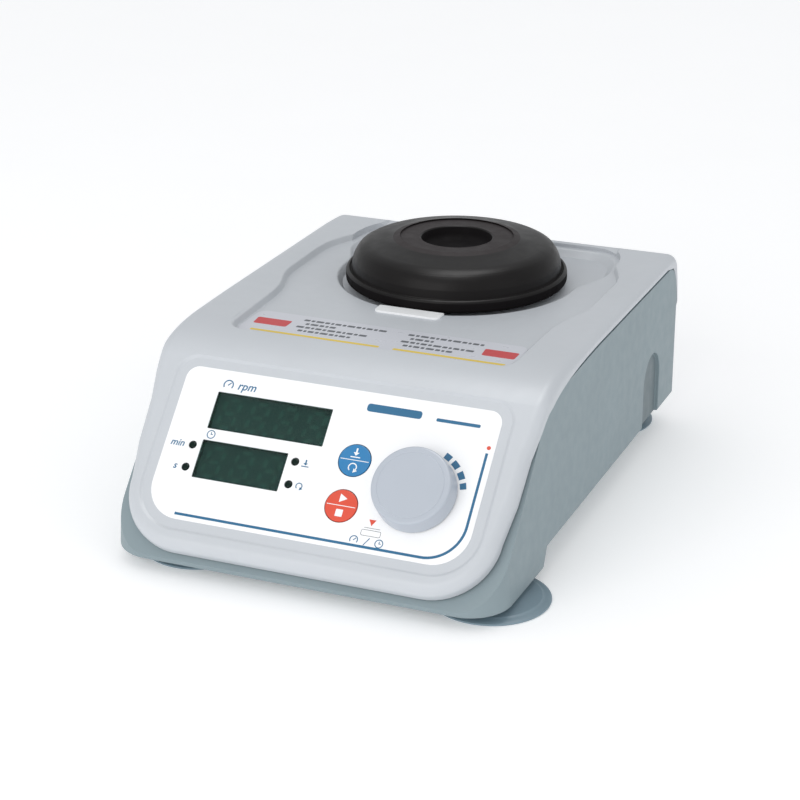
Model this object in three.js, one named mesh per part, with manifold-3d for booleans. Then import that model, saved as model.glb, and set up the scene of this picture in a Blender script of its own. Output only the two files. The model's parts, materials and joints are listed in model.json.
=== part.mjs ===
// Vortex mixer with a digital front panel: a free-standing bench instrument.
// Millimetres, +Z up, the front panel faces -Y.
// The origin is on the bench, under the middle of the instrument's bounding box.

import * as THREE from 'three';
import { mergeVertices } from 'three/addons/utils/BufferGeometryUtils.js';
import Module from 'manifold-3d';

const wasm = await Module();
wasm.setup();

// ---------------------------------------------------------------- driving dimensions

const GAP = 0.3;                 // clearance between neighbouring pieces
const WALL = 3;                  // moulded wall thickness

const HALF_WIDTH = 86;           // casing, side wall to middle
const DECK_Z = 83.2;             // top deck
const FRONT_Y = -123.15;         // front wall of the base
const BACK_Y = 119.85;           // back face
const FLOOR_Z = 13.3;            // underside of the base
const PLINTH_Z = 5.3;            // underside of the front plinth
const PLINTH_BACK_Y = -69.15;
const FRONT_CORNER = 17;         // vertical front corners of the base
const BACK_CORNER = 3;

const PANEL_Y = -96.15;          // middle of the front panel
const PANEL_Z = 48;
const PANEL_TILT = THREE.MathUtils.degToRad(43.5);   // leaning back from the vertical
const SKIN = 0.6;                // the cover stands this much proud of the label
const LABEL = { halfWidth: 69.55, halfHeight: 33.25, topCorner: 5.5, lowCorner: 15, thick: 0.6 };
const LABEL_RIM = 4.5;           // shallow border round the label

const COVER_LOW_V = -45.5;       // lower edge of the cover, down the panel
const KNEE_V = 37;               // the panel starts to bend into the deck
const KNEE_END_Y = -36;          // the bend ends on the deck
const BACK_FILLET = 8;
const DECK_RIM = 3.7;            // depth of the cover's rim along the deck
const FLANGE_LOW_Z = 15.5;       // lower edge of the cover's back panel

const WELL_DEPTH = 3;            // recess in the deck
const WELL_FRONT_Y = -51.5;
// Pocket under the platform: a half circle at the front, with sides that flare to the back.
const POCKET = { depth: 6.2, radius: 52.3, flareX: 60.5, flareY: 28, backX: 44, backY: 53, spread: 1.18 };
const SHAFT_HOLE = 13;

const MOTOR_Y = 55.75;           // motor axis
const ECCENTRICITY = 2;          // half of the 4 mm orbit
const HEAD_Y = MOTOR_Y - ECCENTRICITY;
const PLATFORM = { radius: 50, lip: 47, ring: 28, dimple: 16.5, low: 79.8, high: 99.2 };

const KNOB = { u: 42.9, v: -5.5, radius: 16.8, top: 16.2, high: 9 };
const MODE_BUTTON = { u: 13.8, v: 3.6 };
const START_BUTTON = { u: 13.7, v: -15.9 };
const BUTTON_RADIUS = 6.75;
const SPEED_WINDOW = { u0: -53, u1: -1.6, v0: 7.2, v1: 23.4 };
const TIME_WINDOW = { u0: -53.1, u1: -14.9, v0: -14.5, v1: 1.9 };
const MODULE_HALF_HEIGHT = 9.5;
const LEDS = {
  led_minutes: [-57, -1],
  led_seconds: [-57.1, -10.8],
  led_touch: [-10.9, -1],
  led_continuous: [-10.9, -10.8],
};
const LED_RADIUS = 1.5;
const BOARD_TOP_N = -11.1;       // display board, below the label's face
const BOARD_THICK = 1.6;

const BALLAST = { low: 16.6, high: 22.6 };
const PLATE = { low: 44.3, high: 47.3 };
const POSTS = { left: [-42, 33], right: [42, 33], rear: [0, 95] };
const POST_RADIUS = 3;
const SPRING = { radius: 5.2, wire: 0.7, turns: 4.5 };

const FOOT = { radius: 24.4, neck: 5.5 };
const FOOT_FRONT_Y = -92.15;
const FOOT_REAR_Y = 105.35;
const FOOT_X = 63.3;
// Each cup's disc leans sideways on its soft neck.
const FEET = {
  foot_front_left: [-FOOT_X, FOOT_FRONT_Y, 6.3],
  foot_front_right: [FOOT_X, FOOT_FRONT_Y, 8.3],
  foot_rear_left: [-FOOT_X, FOOT_REAR_Y, -8.3],
  foot_rear_right: [FOOT_X, FOOT_REAR_Y, -8.3],
};

const INLET = { x: -33, z: 45 };
const SWITCH = { x: 25, z: 46, pivotY: 117.5, radius: 7.6, tilt: THREE.MathUtils.degToRad(9) };

// ---------------------------------------------------------------- finishes

const finish = (color, roughness, metalness = 0) =>
  new THREE.MeshStandardMaterial({ color, roughness, metalness });

const paleGrey = finish(0xc6cad0, 0.45);
const blueGrey = finish(0x8fa0a6, 0.5);
const labelWhite = finish(0xf8f9fb, 0.5);
const blackRubber = finish(0x151314, 0.55);
const footRubber = finish(0x7f96a3, 0.45);
const knobGrey = finish(0xbec6d0, 0.4);
const buttonBlue = finish(0x2488c2, 0.45);
const buttonRed = finish(0xe84e32, 0.45);
const smokedGreen = finish(0x1e3e38, 0.15);
const ledGreen = finish(0x10261f, 0.3);
const blackPlastic = finish(0x202124, 0.5);
const boardGreen = finish(0x1f5a3a, 0.55);
const steel = finish(0x9a9da1, 0.35, 1);
const aluminium = finish(0xc8cacc, 0.4, 1);
const copper = finish(0xb3683c, 0.4, 1);

// ---------------------------------------------------------------- solid helpers

function toSolid(geometry) {
  const bare = geometry.clone();
  bare.deleteAttribute('normal');
  bare.deleteAttribute('uv');
  const merged = mergeVertices(bare, 1e-4);
  const corners = merged.index.array;
  const kept = [];
  for (let i = 0; i < corners.length; i += 3) {
    const [a, b, c] = [corners[i], corners[i + 1], corners[i + 2]];
    if (a !== b && b !== c && c !== a) {
      kept.push(a, b, c);
    }
  }
  return new wasm.Manifold(new wasm.Mesh({
    numProp: 3,
    vertProperties: new Float32Array(merged.attributes.position.array),
    triVerts: new Uint32Array(kept),
  }));
}

function toGeometry(solid) {
  const mesh = solid.getMesh();
  const geometry = new THREE.BufferGeometry();
  geometry.setAttribute('position', new THREE.BufferAttribute(mesh.vertProperties, 3));
  geometry.setIndex(new THREE.BufferAttribute(mesh.triVerts, 1));
  geometry.computeVertexNormals();
  return geometry;
}

const join = (...shapes) =>
  toGeometry(shapes.map(toSolid).reduce((whole, piece) => whole.add(piece)));

const cut = (shape, ...tools) =>
  toGeometry(tools.map(toSolid).reduce((whole, tool) => whole.subtract(tool), toSolid(shape)));

const overlap = (one, other) => toGeometry(toSolid(one).intersect(toSolid(other)));

function box(x0, x1, y0, y1, z0, z1) {
  const geometry = new THREE.BoxGeometry(x1 - x0, y1 - y0, z1 - z0);
  return geometry.translate((x0 + x1) / 2, (y0 + y1) / 2, (z0 + z1) / 2);
}

// A round bar along Z.
function rod(radius, z0, z1, x = 0, y = 0, segments = 24) {
  const geometry = new THREE.CylinderGeometry(radius, radius, z1 - z0, segments);
  return geometry.rotateX(Math.PI / 2).translate(x, y, (z0 + z1) / 2);
}

// A [radius, z] profile turned about the vertical line at x, y.
function turned(profile, x = 0, y = 0, segments = 32) {
  const points = profile.map(([radius, z]) => new THREE.Vector2(radius, z));
  return new THREE.LatheGeometry(points, segments).rotateX(Math.PI / 2).translate(x, y, 0);
}

const ring = (inner, outer, z0, z1, x = 0, y = 0, segments = 24) =>
  turned([[inner, z0], [outer, z0], [outer, z1], [inner, z1], [inner, z0]], x, y, segments);

// A plan outline raised from z0 to z1.
function prism(shape, z0, z1, curveSegments = 8) {
  const options = { depth: z1 - z0, bevelEnabled: false, curveSegments };
  return new THREE.ExtrudeGeometry(shape, options).translate(0, 0, z0);
}

// A side outline of [y, z] points, pulled across from x0 to x1.
function sidePrism(points, x0, x1) {
  const shape = new THREE.Shape(points.map(([y, z]) => new THREE.Vector2(y, z)));
  const options = { depth: x1 - x0, bevelEnabled: false };
  const toSide = new THREE.Matrix4().makeBasis(
    new THREE.Vector3(0, 1, 0), new THREE.Vector3(0, 0, 1), new THREE.Vector3(1, 0, 0));
  return new THREE.ExtrudeGeometry(shape, options).applyMatrix4(toSide).translate(x0, 0, 0);
}

// A rectangle with rounded corners: low pair and high pair.
function roundedRect(x0, x1, y0, y1, low, high = low) {
  const shape = new THREE.Shape();
  shape.moveTo(x0 + low, y0);
  shape.lineTo(x1 - low, y0);
  shape.absarc(x1 - low, y0 + low, low, -Math.PI / 2, 0);
  shape.lineTo(x1, y1 - high);
  shape.absarc(x1 - high, y1 - high, high, 0, Math.PI / 2);
  shape.lineTo(x0 + high, y1);
  shape.absarc(x0 + high, y1 - high, high, Math.PI / 2, Math.PI);
  shape.lineTo(x0, y0 + low);
  shape.absarc(x0 + low, y0 + low, low, Math.PI, Math.PI * 1.5);
  return shape;
}

// ---------------------------------------------------------------- front panel frame
// On the panel, u runs to the right, v up the slope and n out of the panel.

const panel = new THREE.Group();
panel.position.set(0, PANEL_Y, PANEL_Z);
panel.rotation.x = Math.PI / 2 - PANEL_TILT;
panel.updateMatrix();

const fromPanel = (geometry) => geometry.applyMatrix4(panel.matrix);

// The side view position [y, z] of a panel point.
function panelPoint(v, n) {
  const sine = Math.sin(PANEL_TILT);
  const cosine = Math.cos(PANEL_TILT);
  return [PANEL_Y + v * sine - n * cosine, PANEL_Z + v * cosine + n * sine];
}

const pathPoints = (path, divisions) => path.getPoints(divisions).map((p) => [p.x, p.y]);

// The outer skin in side view: panel, knee, deck, back fillet and back face.
function skinLine() {
  const cornerV = (DECK_Z - PANEL_Z - SKIN * Math.sin(PANEL_TILT)) / Math.cos(PANEL_TILT);
  const path = new THREE.Path();
  path.moveTo(...panelPoint(COVER_LOW_V - WALL, SKIN));
  path.lineTo(...panelPoint(KNEE_V, SKIN));
  path.quadraticCurveTo(...panelPoint(cornerV, SKIN), KNEE_END_Y, DECK_Z);
  path.lineTo(BACK_Y - BACK_FILLET, DECK_Z);
  path.absarc(BACK_Y - BACK_FILLET, DECK_Z - BACK_FILLET, BACK_FILLET, Math.PI / 2, 0, true);
  path.lineTo(BACK_Y, FLANGE_LOW_Z);
  return pathPoints(path, 6);
}

// The seam between cover and base in side view, sunk by a clearance for the base.
function seamLine(startV, clearance) {
  const path = new THREE.Path();
  const rim = DECK_Z - DECK_RIM - clearance;
  path.moveTo(...panelPoint(startV, -7.4 - clearance));
  path.lineTo(...panelPoint(10, -6.6 - clearance));
  path.lineTo(...panelPoint(32, -5.5 - clearance));
  path.quadraticCurveTo(-62, rim - 0.5, -3, rim);
  path.lineTo(BACK_Y - 17, rim);
  path.quadraticCurveTo(BACK_Y - 6, rim, BACK_Y - 2.6 - clearance, 65);
  path.lineTo(BACK_Y - 1.1 - clearance, 58.8);
  path.lineTo(BACK_Y, 33);
  return pathPoints(path, 5);
}

// ---------------------------------------------------------------- casing

// The cover's edge seen square to the panel: it narrows down the panel to round corners.
function coverOutline() {
  const far = 400;
  const half = HALF_WIDTH + 1;
  const corner = { u: 53.5, v: -21.5, radius: 27 };
  const shape = new THREE.Shape();
  shape.moveTo(-corner.u, COVER_LOW_V);
  shape.lineTo(corner.u, COVER_LOW_V);
  shape.absarc(corner.u, corner.v, corner.radius, -Math.PI / 2, 0);
  shape.lineTo(82.6, -2.4);
  shape.lineTo(83.3, 16.6);
  shape.lineTo(85, 30);
  shape.lineTo(half, 44);
  shape.lineTo(half, far);
  shape.lineTo(-half, far);
  shape.lineTo(-half, 44);
  shape.lineTo(-85, 30);
  shape.lineTo(-83.3, 16.6);
  shape.lineTo(-82.6, -2.4);
  shape.absarc(-corner.u, corner.v, corner.radius, Math.PI, Math.PI * 1.5);
  return shape;
}

// The recess in the deck, widest beside the platform.
function wellOutline() {
  const shape = new THREE.Shape();
  const right = [[63.5, -43], [65, 6], [72, 24], [72, 72], [65.5, 86], [60, 95], [57, BACK_Y + 1]];
  const corner = 7;
  shape.moveTo(-63.5 + corner, WELL_FRONT_Y);
  shape.lineTo(63.5 - corner, WELL_FRONT_Y);
  shape.quadraticCurveTo(63.5, WELL_FRONT_Y, ...right[0]);
  right.slice(1).forEach(([x, y]) => shape.lineTo(x, y));
  right.slice().reverse().forEach(([x, y]) => shape.lineTo(-x, y));
  shape.quadraticCurveTo(-63.5, WELL_FRONT_Y, -63.5 + corner, WELL_FRONT_Y);
  return shape;
}

// The floor of the platform's pocket, centred on the motor axis.
function pocketShape(scale = 1) {
  const { radius, flareX, flareY, backX, backY } = POCKET;
  const shape = new THREE.Shape();
  shape.absarc(0, 0, radius * scale, Math.PI, 2 * Math.PI);
  shape.bezierCurveTo(
    radius * scale, 9 * scale, flareX * scale, 16 * scale, flareX * scale, flareY * scale);
  shape.quadraticCurveTo(flareX * scale, backY * scale, backX * scale, backY * scale);
  shape.lineTo(-backX * scale, backY * scale);
  shape.quadraticCurveTo(-flareX * scale, backY * scale, -flareX * scale, flareY * scale);
  shape.bezierCurveTo(
    -flareX * scale, 16 * scale, -radius * scale, 9 * scale, -radius * scale, 0);
  return shape;
}

// The pocket's cutter: its walls lean outwards.
function pocketTool() {
  const low = DECK_Z - POCKET.depth;
  const tool = prism(pocketShape(), low, DECK_Z + 5, 10);
  const corner = tool.attributes.position;
  for (let i = 0; i < corner.count; i += 1) {
    if (corner.getZ(i) > DECK_Z) {
      corner.setX(i, corner.getX(i) * POCKET.spread);
      corner.setY(i, corner.getY(i) * POCKET.spread);
    }
  }
  return tool.translate(0, MOTOR_Y, 0);
}

function windowTool(area, n0, n1, margin = GAP) {
  return box(area.u0 - margin, area.u1 + margin, area.v0 - margin, area.v1 + margin, n0, n1);
}

// Everything that passes through the front panel.
function panelOpenings(n0, n1) {
  return [
    windowTool(SPEED_WINDOW, n0, n1),
    windowTool(TIME_WINDOW, n0, n1),
    rod(BUTTON_RADIUS + GAP, n0, n1, MODE_BUTTON.u, MODE_BUTTON.v, 20),
    rod(BUTTON_RADIUS + GAP, n0, n1, START_BUTTON.u, START_BUTTON.v, 20),
    rod(4.6, n0, n1, KNOB.u, KNOB.v, 16),
    ...Object.values(LEDS).map(([u, v]) => rod(LED_RADIUS + GAP, n0, n1, u, v, 10)),
  ];
}

function rearOpenings(y0, y1) {
  return [
    box(INLET.x - 14.2, INLET.x + 14.2, y0, y1, INLET.z - 16.3, INLET.z + 16.3),
    box(SWITCH.x - 6.8, SWITCH.x + 6.8, y0, y1, SWITCH.z - 9.8, SWITCH.z + 9.8),
  ];
}

function topCover() {
  const rimmed = overlap(
    sidePrism([...skinLine(), [PANEL_Y, FLANGE_LOW_Z - 20]], -HALF_WIDTH, HALF_WIDTH),
    fromPanel(prism(coverOutline(), -200, 40)));
  const underSeam = sidePrism(
    [...seamLine(-80, 0), [BACK_Y + 5, 33], [BACK_Y + 5, -40], [-146, -40]],
    -HALF_WIDTH - 2, HALF_WIDTH + 2);
  const inside = HALF_WIDTH - WALL - GAP;
  const sheet = join(
    cut(rimmed, underSeam),
    box(-inside, inside, BACK_Y - WALL + GAP, BACK_Y, FLANGE_LOW_Z, DECK_Z - BACK_FILLET),
    box(-79, 79, -45, BACK_Y - 8, DECK_Z - 6.5, DECK_Z - DECK_RIM + 1),
    prism(pocketShape(1.07), DECK_Z - POCKET.depth - WALL, DECK_Z - DECK_RIM)
      .translate(0, MOTOR_Y, 0));
  const well = overlap(
    prism(wellOutline(), DECK_Z - 10, DECK_Z + 10),
    sidePrism([
      [-70, DECK_Z - WELL_DEPTH], [98, DECK_Z - WELL_DEPTH], [BACK_Y + 1, DECK_Z],
      [BACK_Y + 1, DECK_Z + 5], [-70, DECK_Z + 5],
    ], -80, 80));
  const behindPanel = roundedRect(-77, 77, -43, 34, 22, 4);
  const labelSeat = roundedRect(
    -LABEL.halfWidth - LABEL_RIM, LABEL.halfWidth + LABEL_RIM,
    -LABEL.halfHeight - LABEL_RIM, LABEL.halfHeight + LABEL_RIM, 19, 9);
  return cut(sheet, well, pocketTool(),
    rod(SHAFT_HOLE, DECK_Z - 20, DECK_Z + 5, 0, MOTOR_Y, 24),
    fromPanel(prism(behindPanel, -12, SKIN - WALL)),
    fromPanel(prism(labelSeat, -LABEL.thick - GAP, 5)),
    ...panelOpenings(-20, 20).map(fromPanel),
    ...rearOpenings(BACK_Y - 10, BACK_Y + 10));
}

function baseShell() {
  const plan = roundedRect(-HALF_WIDTH, HALF_WIDTH, FRONT_Y, BACK_Y, FRONT_CORNER, BACK_CORNER);
  const side = [
    ...seamLine(-50, GAP), [BACK_Y, FLOOR_Z], [PLINTH_BACK_Y + 4, FLOOR_Z],
    [PLINTH_BACK_Y, PLINTH_Z], [-124.9, PLINTH_Z],
  ];
  const solid = overlap(
    sidePrism(side, -HALF_WIDTH, HALF_WIDTH), prism(plan, 0, DECK_Z));
  const half = HALF_WIDTH - WALL;
  const cavity = roundedRect(
    -half, half, FRONT_Y + WALL, BACK_Y - 2 * WALL, FRONT_CORNER - WALL, 2);
  const plinthPocket = roundedRect(
    -half, half, FRONT_Y + WALL, PLINTH_BACK_Y + 10, FRONT_CORNER - WALL, 1);
  const slotOutline = new THREE.Shape();
  slotOutline.moveTo(67.85, FLOOR_Z - 2);
  slotOutline.lineTo(92.85, FLOOR_Z - 2);
  slotOutline.lineTo(92.85, 33);
  slotOutline.absarc(80.35, 33, 12.5, 0, Math.PI);
  const slotPoints = slotOutline.getPoints(8).map((p) => [p.x, p.y]);
  const slotDepth = 1.8;
  // A shoulder closes the top of the walls round the panel, where the cover is narrower.
  const shoulderEnd = -46;
  const shoulderSide = [
    ...seamLine(-50, GAP).filter(([y]) => y < shoulderEnd),
    ...seamLine(-50, GAP + WALL).filter(([y]) => y < shoulderEnd).reverse(),
  ];
  const shoulder = overlap(
    sidePrism(shoulderSide, -HALF_WIDTH, HALF_WIDTH),
    prism(roundedRect(-half - 1, half + 1, FRONT_Y + 2, 0, FRONT_CORNER - 2, 1), 0, DECK_Z));
  const standoffs = [[-52, -56], [52, -56], [-52, -8], [52, -8]]
    .map(([x, y]) => rod(3, FLOOR_Z + 1, 23.7, x, y, 12));
  return join(
    cut(solid,
      prism(cavity, FLOOR_Z + WALL, DECK_Z + 5),
      prism(plinthPocket, 0, FLOOR_Z),
      box(-half - GAP, half + GAP, BACK_Y - WALL, BACK_Y + 5, FLANGE_LOW_Z - GAP, DECK_Z),
      sidePrism(slotPoints, HALF_WIDTH - slotDepth, HALF_WIDTH + 5),
      sidePrism(slotPoints, -HALF_WIDTH - 5, -HALF_WIDTH + slotDepth),
      ...rearOpenings(BACK_Y - 10, BACK_Y + 10)),
    cut(shoulder, fromPanel(prism(roundedRect(-75, 75, -42, 90, 24, 4), -60, 20))),
    ...standoffs);
}

function foot([x, y, lean]) {
  const disc = turned([
    [0, 1.4], [19, 0.7], [23, 0], [24.1, 0], [FOOT.radius, 0.5], [FOOT.radius, 1.1],
    [20, 2.2], [12, 3.4], [7.5, 4.2], [0, 4.2],
  ], x + lean, y, 28);
  return join(disc, rod(FOOT.neck, 2.6, FLOOR_Z - GAP, x, y, 14));
}

// ---------------------------------------------------------------- front panel pieces

function frontLabel() {
  const sheet = roundedRect(
    -LABEL.halfWidth, LABEL.halfWidth, -LABEL.halfHeight, LABEL.halfHeight,
    LABEL.lowCorner, LABEL.topCorner);
  return cut(prism(sheet, -LABEL.thick, 0), ...panelOpenings(-5, 5));
}

const lens = (area) => windowTool(area, -2.4, -0.1, 0);

function displayModule(area, width) {
  const middleU = (area.u0 + area.u1) / 2;
  const middleV = (area.v0 + area.v1) / 2;
  return box(middleU - width / 2, middleU + width / 2,
    middleV - MODULE_HALF_HEIGHT, middleV + MODULE_HALF_HEIGHT, BOARD_TOP_N + GAP, -2.8);
}

const led = ([u, v]) => turned([
  [0, BOARD_TOP_N + GAP], [1.9, BOARD_TOP_N + GAP], [1.9, -4], [LED_RADIUS, -4],
  [LED_RADIUS, -0.2], [1, 0.2], [0, 0.3],
], u, v, 10);

const buttonCap = ({ u, v }) => turned([
  [0, -6.4], [2.5, -6.4], [2.5, -4.2], [8, -4.2], [8, -3.1], [BUTTON_RADIUS, -3.1],
  [BUTTON_RADIUS, 0.05], [BUTTON_RADIUS - 0.25, 0.3], [0, 0.3],
], u, v, 20);

const tactStem = ({ u, v }) => rod(1.75, -9, -6.7, u, v, 16);

const tactBody = ({ u, v }) => cut(
  box(u - 3, u + 3, v - 3, v + 3, BOARD_TOP_N + GAP, -8), rod(2.05, -9.7, -5, u, v, 16));

const speedKnob = () => turned([
  [0, 7.6], [3.2, 7.6], [3.2, 3.4], [12, 3.4], [12, 0.7], [KNOB.radius, 0.7],
  [KNOB.radius - 0.1, 2.2], [KNOB.top, KNOB.high - 1.2], [KNOB.top - 0.3, KNOB.high - 0.4],
  [KNOB.top - 1, KNOB.high], [0, KNOB.high],
], KNOB.u, KNOB.v, 36);

const encoderShaft = () => turned([
  [0, -9.4], [4.5, -9.4], [4.5, -8.4], [2.9, -8.4], [2.9, 6.6], [0, 6.6],
], KNOB.u, KNOB.v, 16);

const encoderBody = () => turned([
  [3.2, -5.9], [4.9, -5.9], [4.9, -10.2], [0, -10.2], [0, BOARD_TOP_N + GAP],
  [6.6, BOARD_TOP_N + GAP], [6.6, -4.4], [4.2, -4.4], [4.2, 2.6], [3.2, 2.6], [3.2, -5.9],
], KNOB.u, KNOB.v, 16);

const encoderNut = () => cut(
  rod(7, 0.35, 2.4, KNOB.u, KNOB.v, 6), rod(4.6, 0, 3, KNOB.u, KNOB.v, 16));

const displayBoard = () => box(-64, 64, -26, 32, BOARD_TOP_N - BOARD_THICK, BOARD_TOP_N);

// ---------------------------------------------------------------- deck pieces

function deckStrip() {
  const floor = DECK_Z - WELL_DEPTH;
  return prism(roundedRect(-61.5, 61.5, -47.3, -21.5, 4), floor + GAP, floor + GAP + 0.4);
}

// A small white tab on the recess floor, just in front of the platform.
function deckTab() {
  const floor = DECK_Z - WELL_DEPTH;
  return prism(roundedRect(-16, 14, -4.6, 3, 2.5, 0.5), floor + GAP, floor + GAP + 0.5, 3);
}

const deckSeal = () => ring(
  SHAFT_HOLE - 1, SHAFT_HOLE + 4, DECK_Z - POCKET.depth + GAP, DECK_Z - POCKET.depth + 2.3,
  0, MOTOR_Y, 24);

const platform = () => turned([
  [0, 85.3], [40, 85.3], [45.5, 81.2], [47, PLATFORM.low], [49.2, PLATFORM.low],
  [PLATFORM.radius, 80.8], [PLATFORM.radius, 83.6], [49, 85.2], [PLATFORM.lip, 86],
  [46.3, 86.8], [46, 91.6], [45, 94.3], [42, 96.5], [38, 98],
  [PLATFORM.ring + 1.5, 98.95], [PLATFORM.ring, PLATFORM.high],
  [PLATFORM.dimple, PLATFORM.high], [15.6, 98.3], [14.8, 94.2], [12.5, 93.1], [0, 92.6],
], 0, HEAD_Y, 40);

const headHub = () => turned([
  [10.3, 59], [12.5, 59], [12.5, 69], [9, 72], [9, 81.5], [30, 81.5], [30, 85], [0, 85],
  [0, 75], [4.6, 75], [4.6, 67.3], [10.3, 67.3], [10.3, 59],
], 0, HEAD_Y, 20);

const headBearing = () => ring(4.4, 9.9, 60, 67, 0, HEAD_Y, 16);

// ---------------------------------------------------------------- drive

function eccentricCrank() {
  const disc = turned(
    [[0, 57.8], [3.3, 57.8], [3.3, 50], [16, 50], [16, 58], [0, 58]], 0, MOTOR_Y, 20);
  return join(disc, rod(4, 57.9, 74, 0, HEAD_Y, 16));
}

function counterweight() {
  const shape = new THREE.Shape();
  const half = THREE.MathUtils.degToRad(75);
  shape.absarc(0, 0, 28, Math.PI / 2 - half, Math.PI / 2 + half);
  shape.absarc(0, 0, 16.4, Math.PI / 2 + half, Math.PI / 2 - half, true);
  return prism(shape, 50, 58, 10).translate(0, MOTOR_Y, 0);
}

const motorShaft = () => rod(3, 27, 57.5, 0, MOTOR_Y, 16);
const motorRotor = () => ring(3.35, 13, 31.2, 41.5, 0, MOTOR_Y, 16);
const motorStator = () => ring(13.8, 22.4, 29, 42, 0, MOTOR_Y, 20);
const motorCase = () => turned([
  [0, 24.5], [24, 24.5], [25, 25.5], [25, 44], [23, 44], [23, 26.5], [0, 26.5],
], 0, MOTOR_Y, 24);
const lowerBearing = () => ring(3.4, 8, 26.8, 30.8, 0, MOTOR_Y, 16);
const upperBearing = () => ring(3.4, 8.6, PLATE.low, PLATE.high, 0, MOTOR_Y, 16);

function motorPlate() {
  const shape = new THREE.Shape(
    [[-50, 8], [50, 8], [50, 50], [12, 103], [-12, 103], [-50, 50]]
      .map(([x, y]) => new THREE.Vector2(x, y)));
  return cut(prism(shape, PLATE.low, PLATE.high),
    rod(9, 40, 50, 0, MOTOR_Y),
    ...Object.values(POSTS).map(([x, y]) => rod(POST_RADIUS + 0.5, 40, 50, x, y, 12)));
}

const guidePost = ([x, y]) => turned([
  [0, BALLAST.high + GAP], [POST_RADIUS, BALLAST.high + GAP], [POST_RADIUS, PLATE.high + GAP],
  [5.5, PLATE.high + GAP], [5.5, PLATE.high + 3.3], [0, PLATE.high + 3.3],
], x, y, 12);

class Coil extends THREE.Curve {
  getPoint(t, target = new THREE.Vector3()) {
    const angle = t * SPRING.turns * 2 * Math.PI;
    const rise = PLATE.low - BALLAST.high - 2 * (GAP + SPRING.wire + 0.15);
    return target.set(SPRING.radius * Math.cos(angle), SPRING.radius * Math.sin(angle), t * rise);
  }
}

function coilSpring([x, y]) {
  const section = new THREE.Shape();
  section.absarc(0, 0, SPRING.wire, 0, 2 * Math.PI);
  const options = { steps: Math.round(SPRING.turns * 9), extrudePath: new Coil(), curveSegments: 2 };
  return new THREE.ExtrudeGeometry(section, options)
    .translate(x, y, BALLAST.high + GAP + SPRING.wire + 0.15);
}

const ballastPlate = () => box(-60, 60, 5, 102, BALLAST.low, BALLAST.high);
const switchBracket = () => box(-7, 7, 9, 15.4, BALLAST.high + GAP, 30.9);
const touchSwitch = () => cut(box(-10, 10, 9, 15.4, 31.2, 41.2), rod(1.5, 37, 45, 0, 12.2, 12));
const touchPlunger = () => rod(1.15, 39, PLATE.low - GAP, 0, 12.2, 12);

// ---------------------------------------------------------------- electronics

const controlBoard = () => box(-58, 58, -62, -2, 24, 25.6);
const powerModule = () => box(-50, -4, -56, -14, 25.9, 44);
const filterCapacitor = () => turned(
  [[0, 25.9], [9, 25.9], [9, 49], [8.2, 50], [0, 50]], 14, -32, 16);

function driverHeatsink() {
  const shape = new THREE.Shape();
  const [x0, pitch, fin, low, root, top] = [30, 4.4, 1.6, 25.9, 29, 43];
  const fins = 6;
  shape.moveTo(x0, low);
  shape.lineTo(x0 + (fins - 1) * pitch + fin, low);
  for (let i = fins - 1; i >= 0; i -= 1) {
    const left = x0 + i * pitch;
    shape.lineTo(left + fin, top);
    shape.lineTo(left, top);
    if (i > 0) {
      shape.lineTo(left, root);
      shape.lineTo(left - pitch + fin, root);
    }
  }
  const geometry = new THREE.ExtrudeGeometry(shape, { depth: 34, bevelEnabled: false });
  return geometry.rotateX(Math.PI / 2).translate(0, -14, 0);
}

// ---------------------------------------------------------------- rear panel pieces

function powerInlet() {
  const { x, z } = INLET;
  const socket = new THREE.Shape(
    [[-12, -5], [12, -5], [12, 7], [7, 12], [-7, 12], [-12, 7]]
      .map(([a, b]) => new THREE.Vector2(a, b)));
  const hole = new THREE.ExtrudeGeometry(socket, { depth: 30, bevelEnabled: false })
    .rotateX(Math.PI / 2).translate(x, 136, z);
  return cut(
    join(
      box(x - 13.9, x + 13.9, 100, BACK_Y + 1, z - 16, z + 16),
      box(x - 15.5, x + 15.5, BACK_Y + GAP, BACK_Y + 2.3, z - 18, z + 18)),
    hole,
    box(x - 10.3, x + 10.3, 111.7, 136, z - 14.3, z - 7.7));
}

const fuseDrawer = () => box(
  INLET.x - 10, INLET.x + 10, 112, BACK_Y + 3.2, INLET.z - 14, INLET.z - 8);

function switchHousing() {
  const { x, z } = SWITCH;
  return cut(
    join(
      box(x - 6.5, x + 6.5, 104, BACK_Y + 1, z - 9.5, z + 9.5),
      box(x - 8, x + 8, BACK_Y + GAP, BACK_Y + 1.8, z - 11, z + 11)),
    box(x - 5.5, x + 5.5, 109, 136, z - 8, z + 8));
}

// A rocker with a hollowed face, lying at its off position.
function powerRocker() {
  const shape = new THREE.Shape();
  const horn = Math.atan2(6.4, 4.1);
  shape.absarc(0, 0, SWITCH.radius, horn, 2 * Math.PI - horn);
  shape.lineTo(2.8, 0);
  const points = shape.getPoints(10).map((p) => [p.x, p.y]);
  return sidePrism(points, -5.1, 5.1).rotateX(-SWITCH.tilt)
    .translate(SWITCH.x, SWITCH.pivotY, SWITCH.z);
}

// ---------------------------------------------------------------- assembly

const mixer = new THREE.Group();
mixer.add(panel);

function addPart(name, geometry, material, parent = mixer) {
  const mesh = new THREE.Mesh(geometry, material);
  mesh.name = name;
  parent.add(mesh);
}

addPart('base_shell', baseShell(), blueGrey);
addPart('top_cover', topCover(), paleGrey);
Object.entries(FEET).forEach(([name, place]) => addPart(name, foot(place), footRubber));
addPart('deck_strip', deckStrip(), labelWhite);
addPart('deck_tab', deckTab(), labelWhite);
addPart('deck_seal', deckSeal(), blackRubber);

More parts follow.
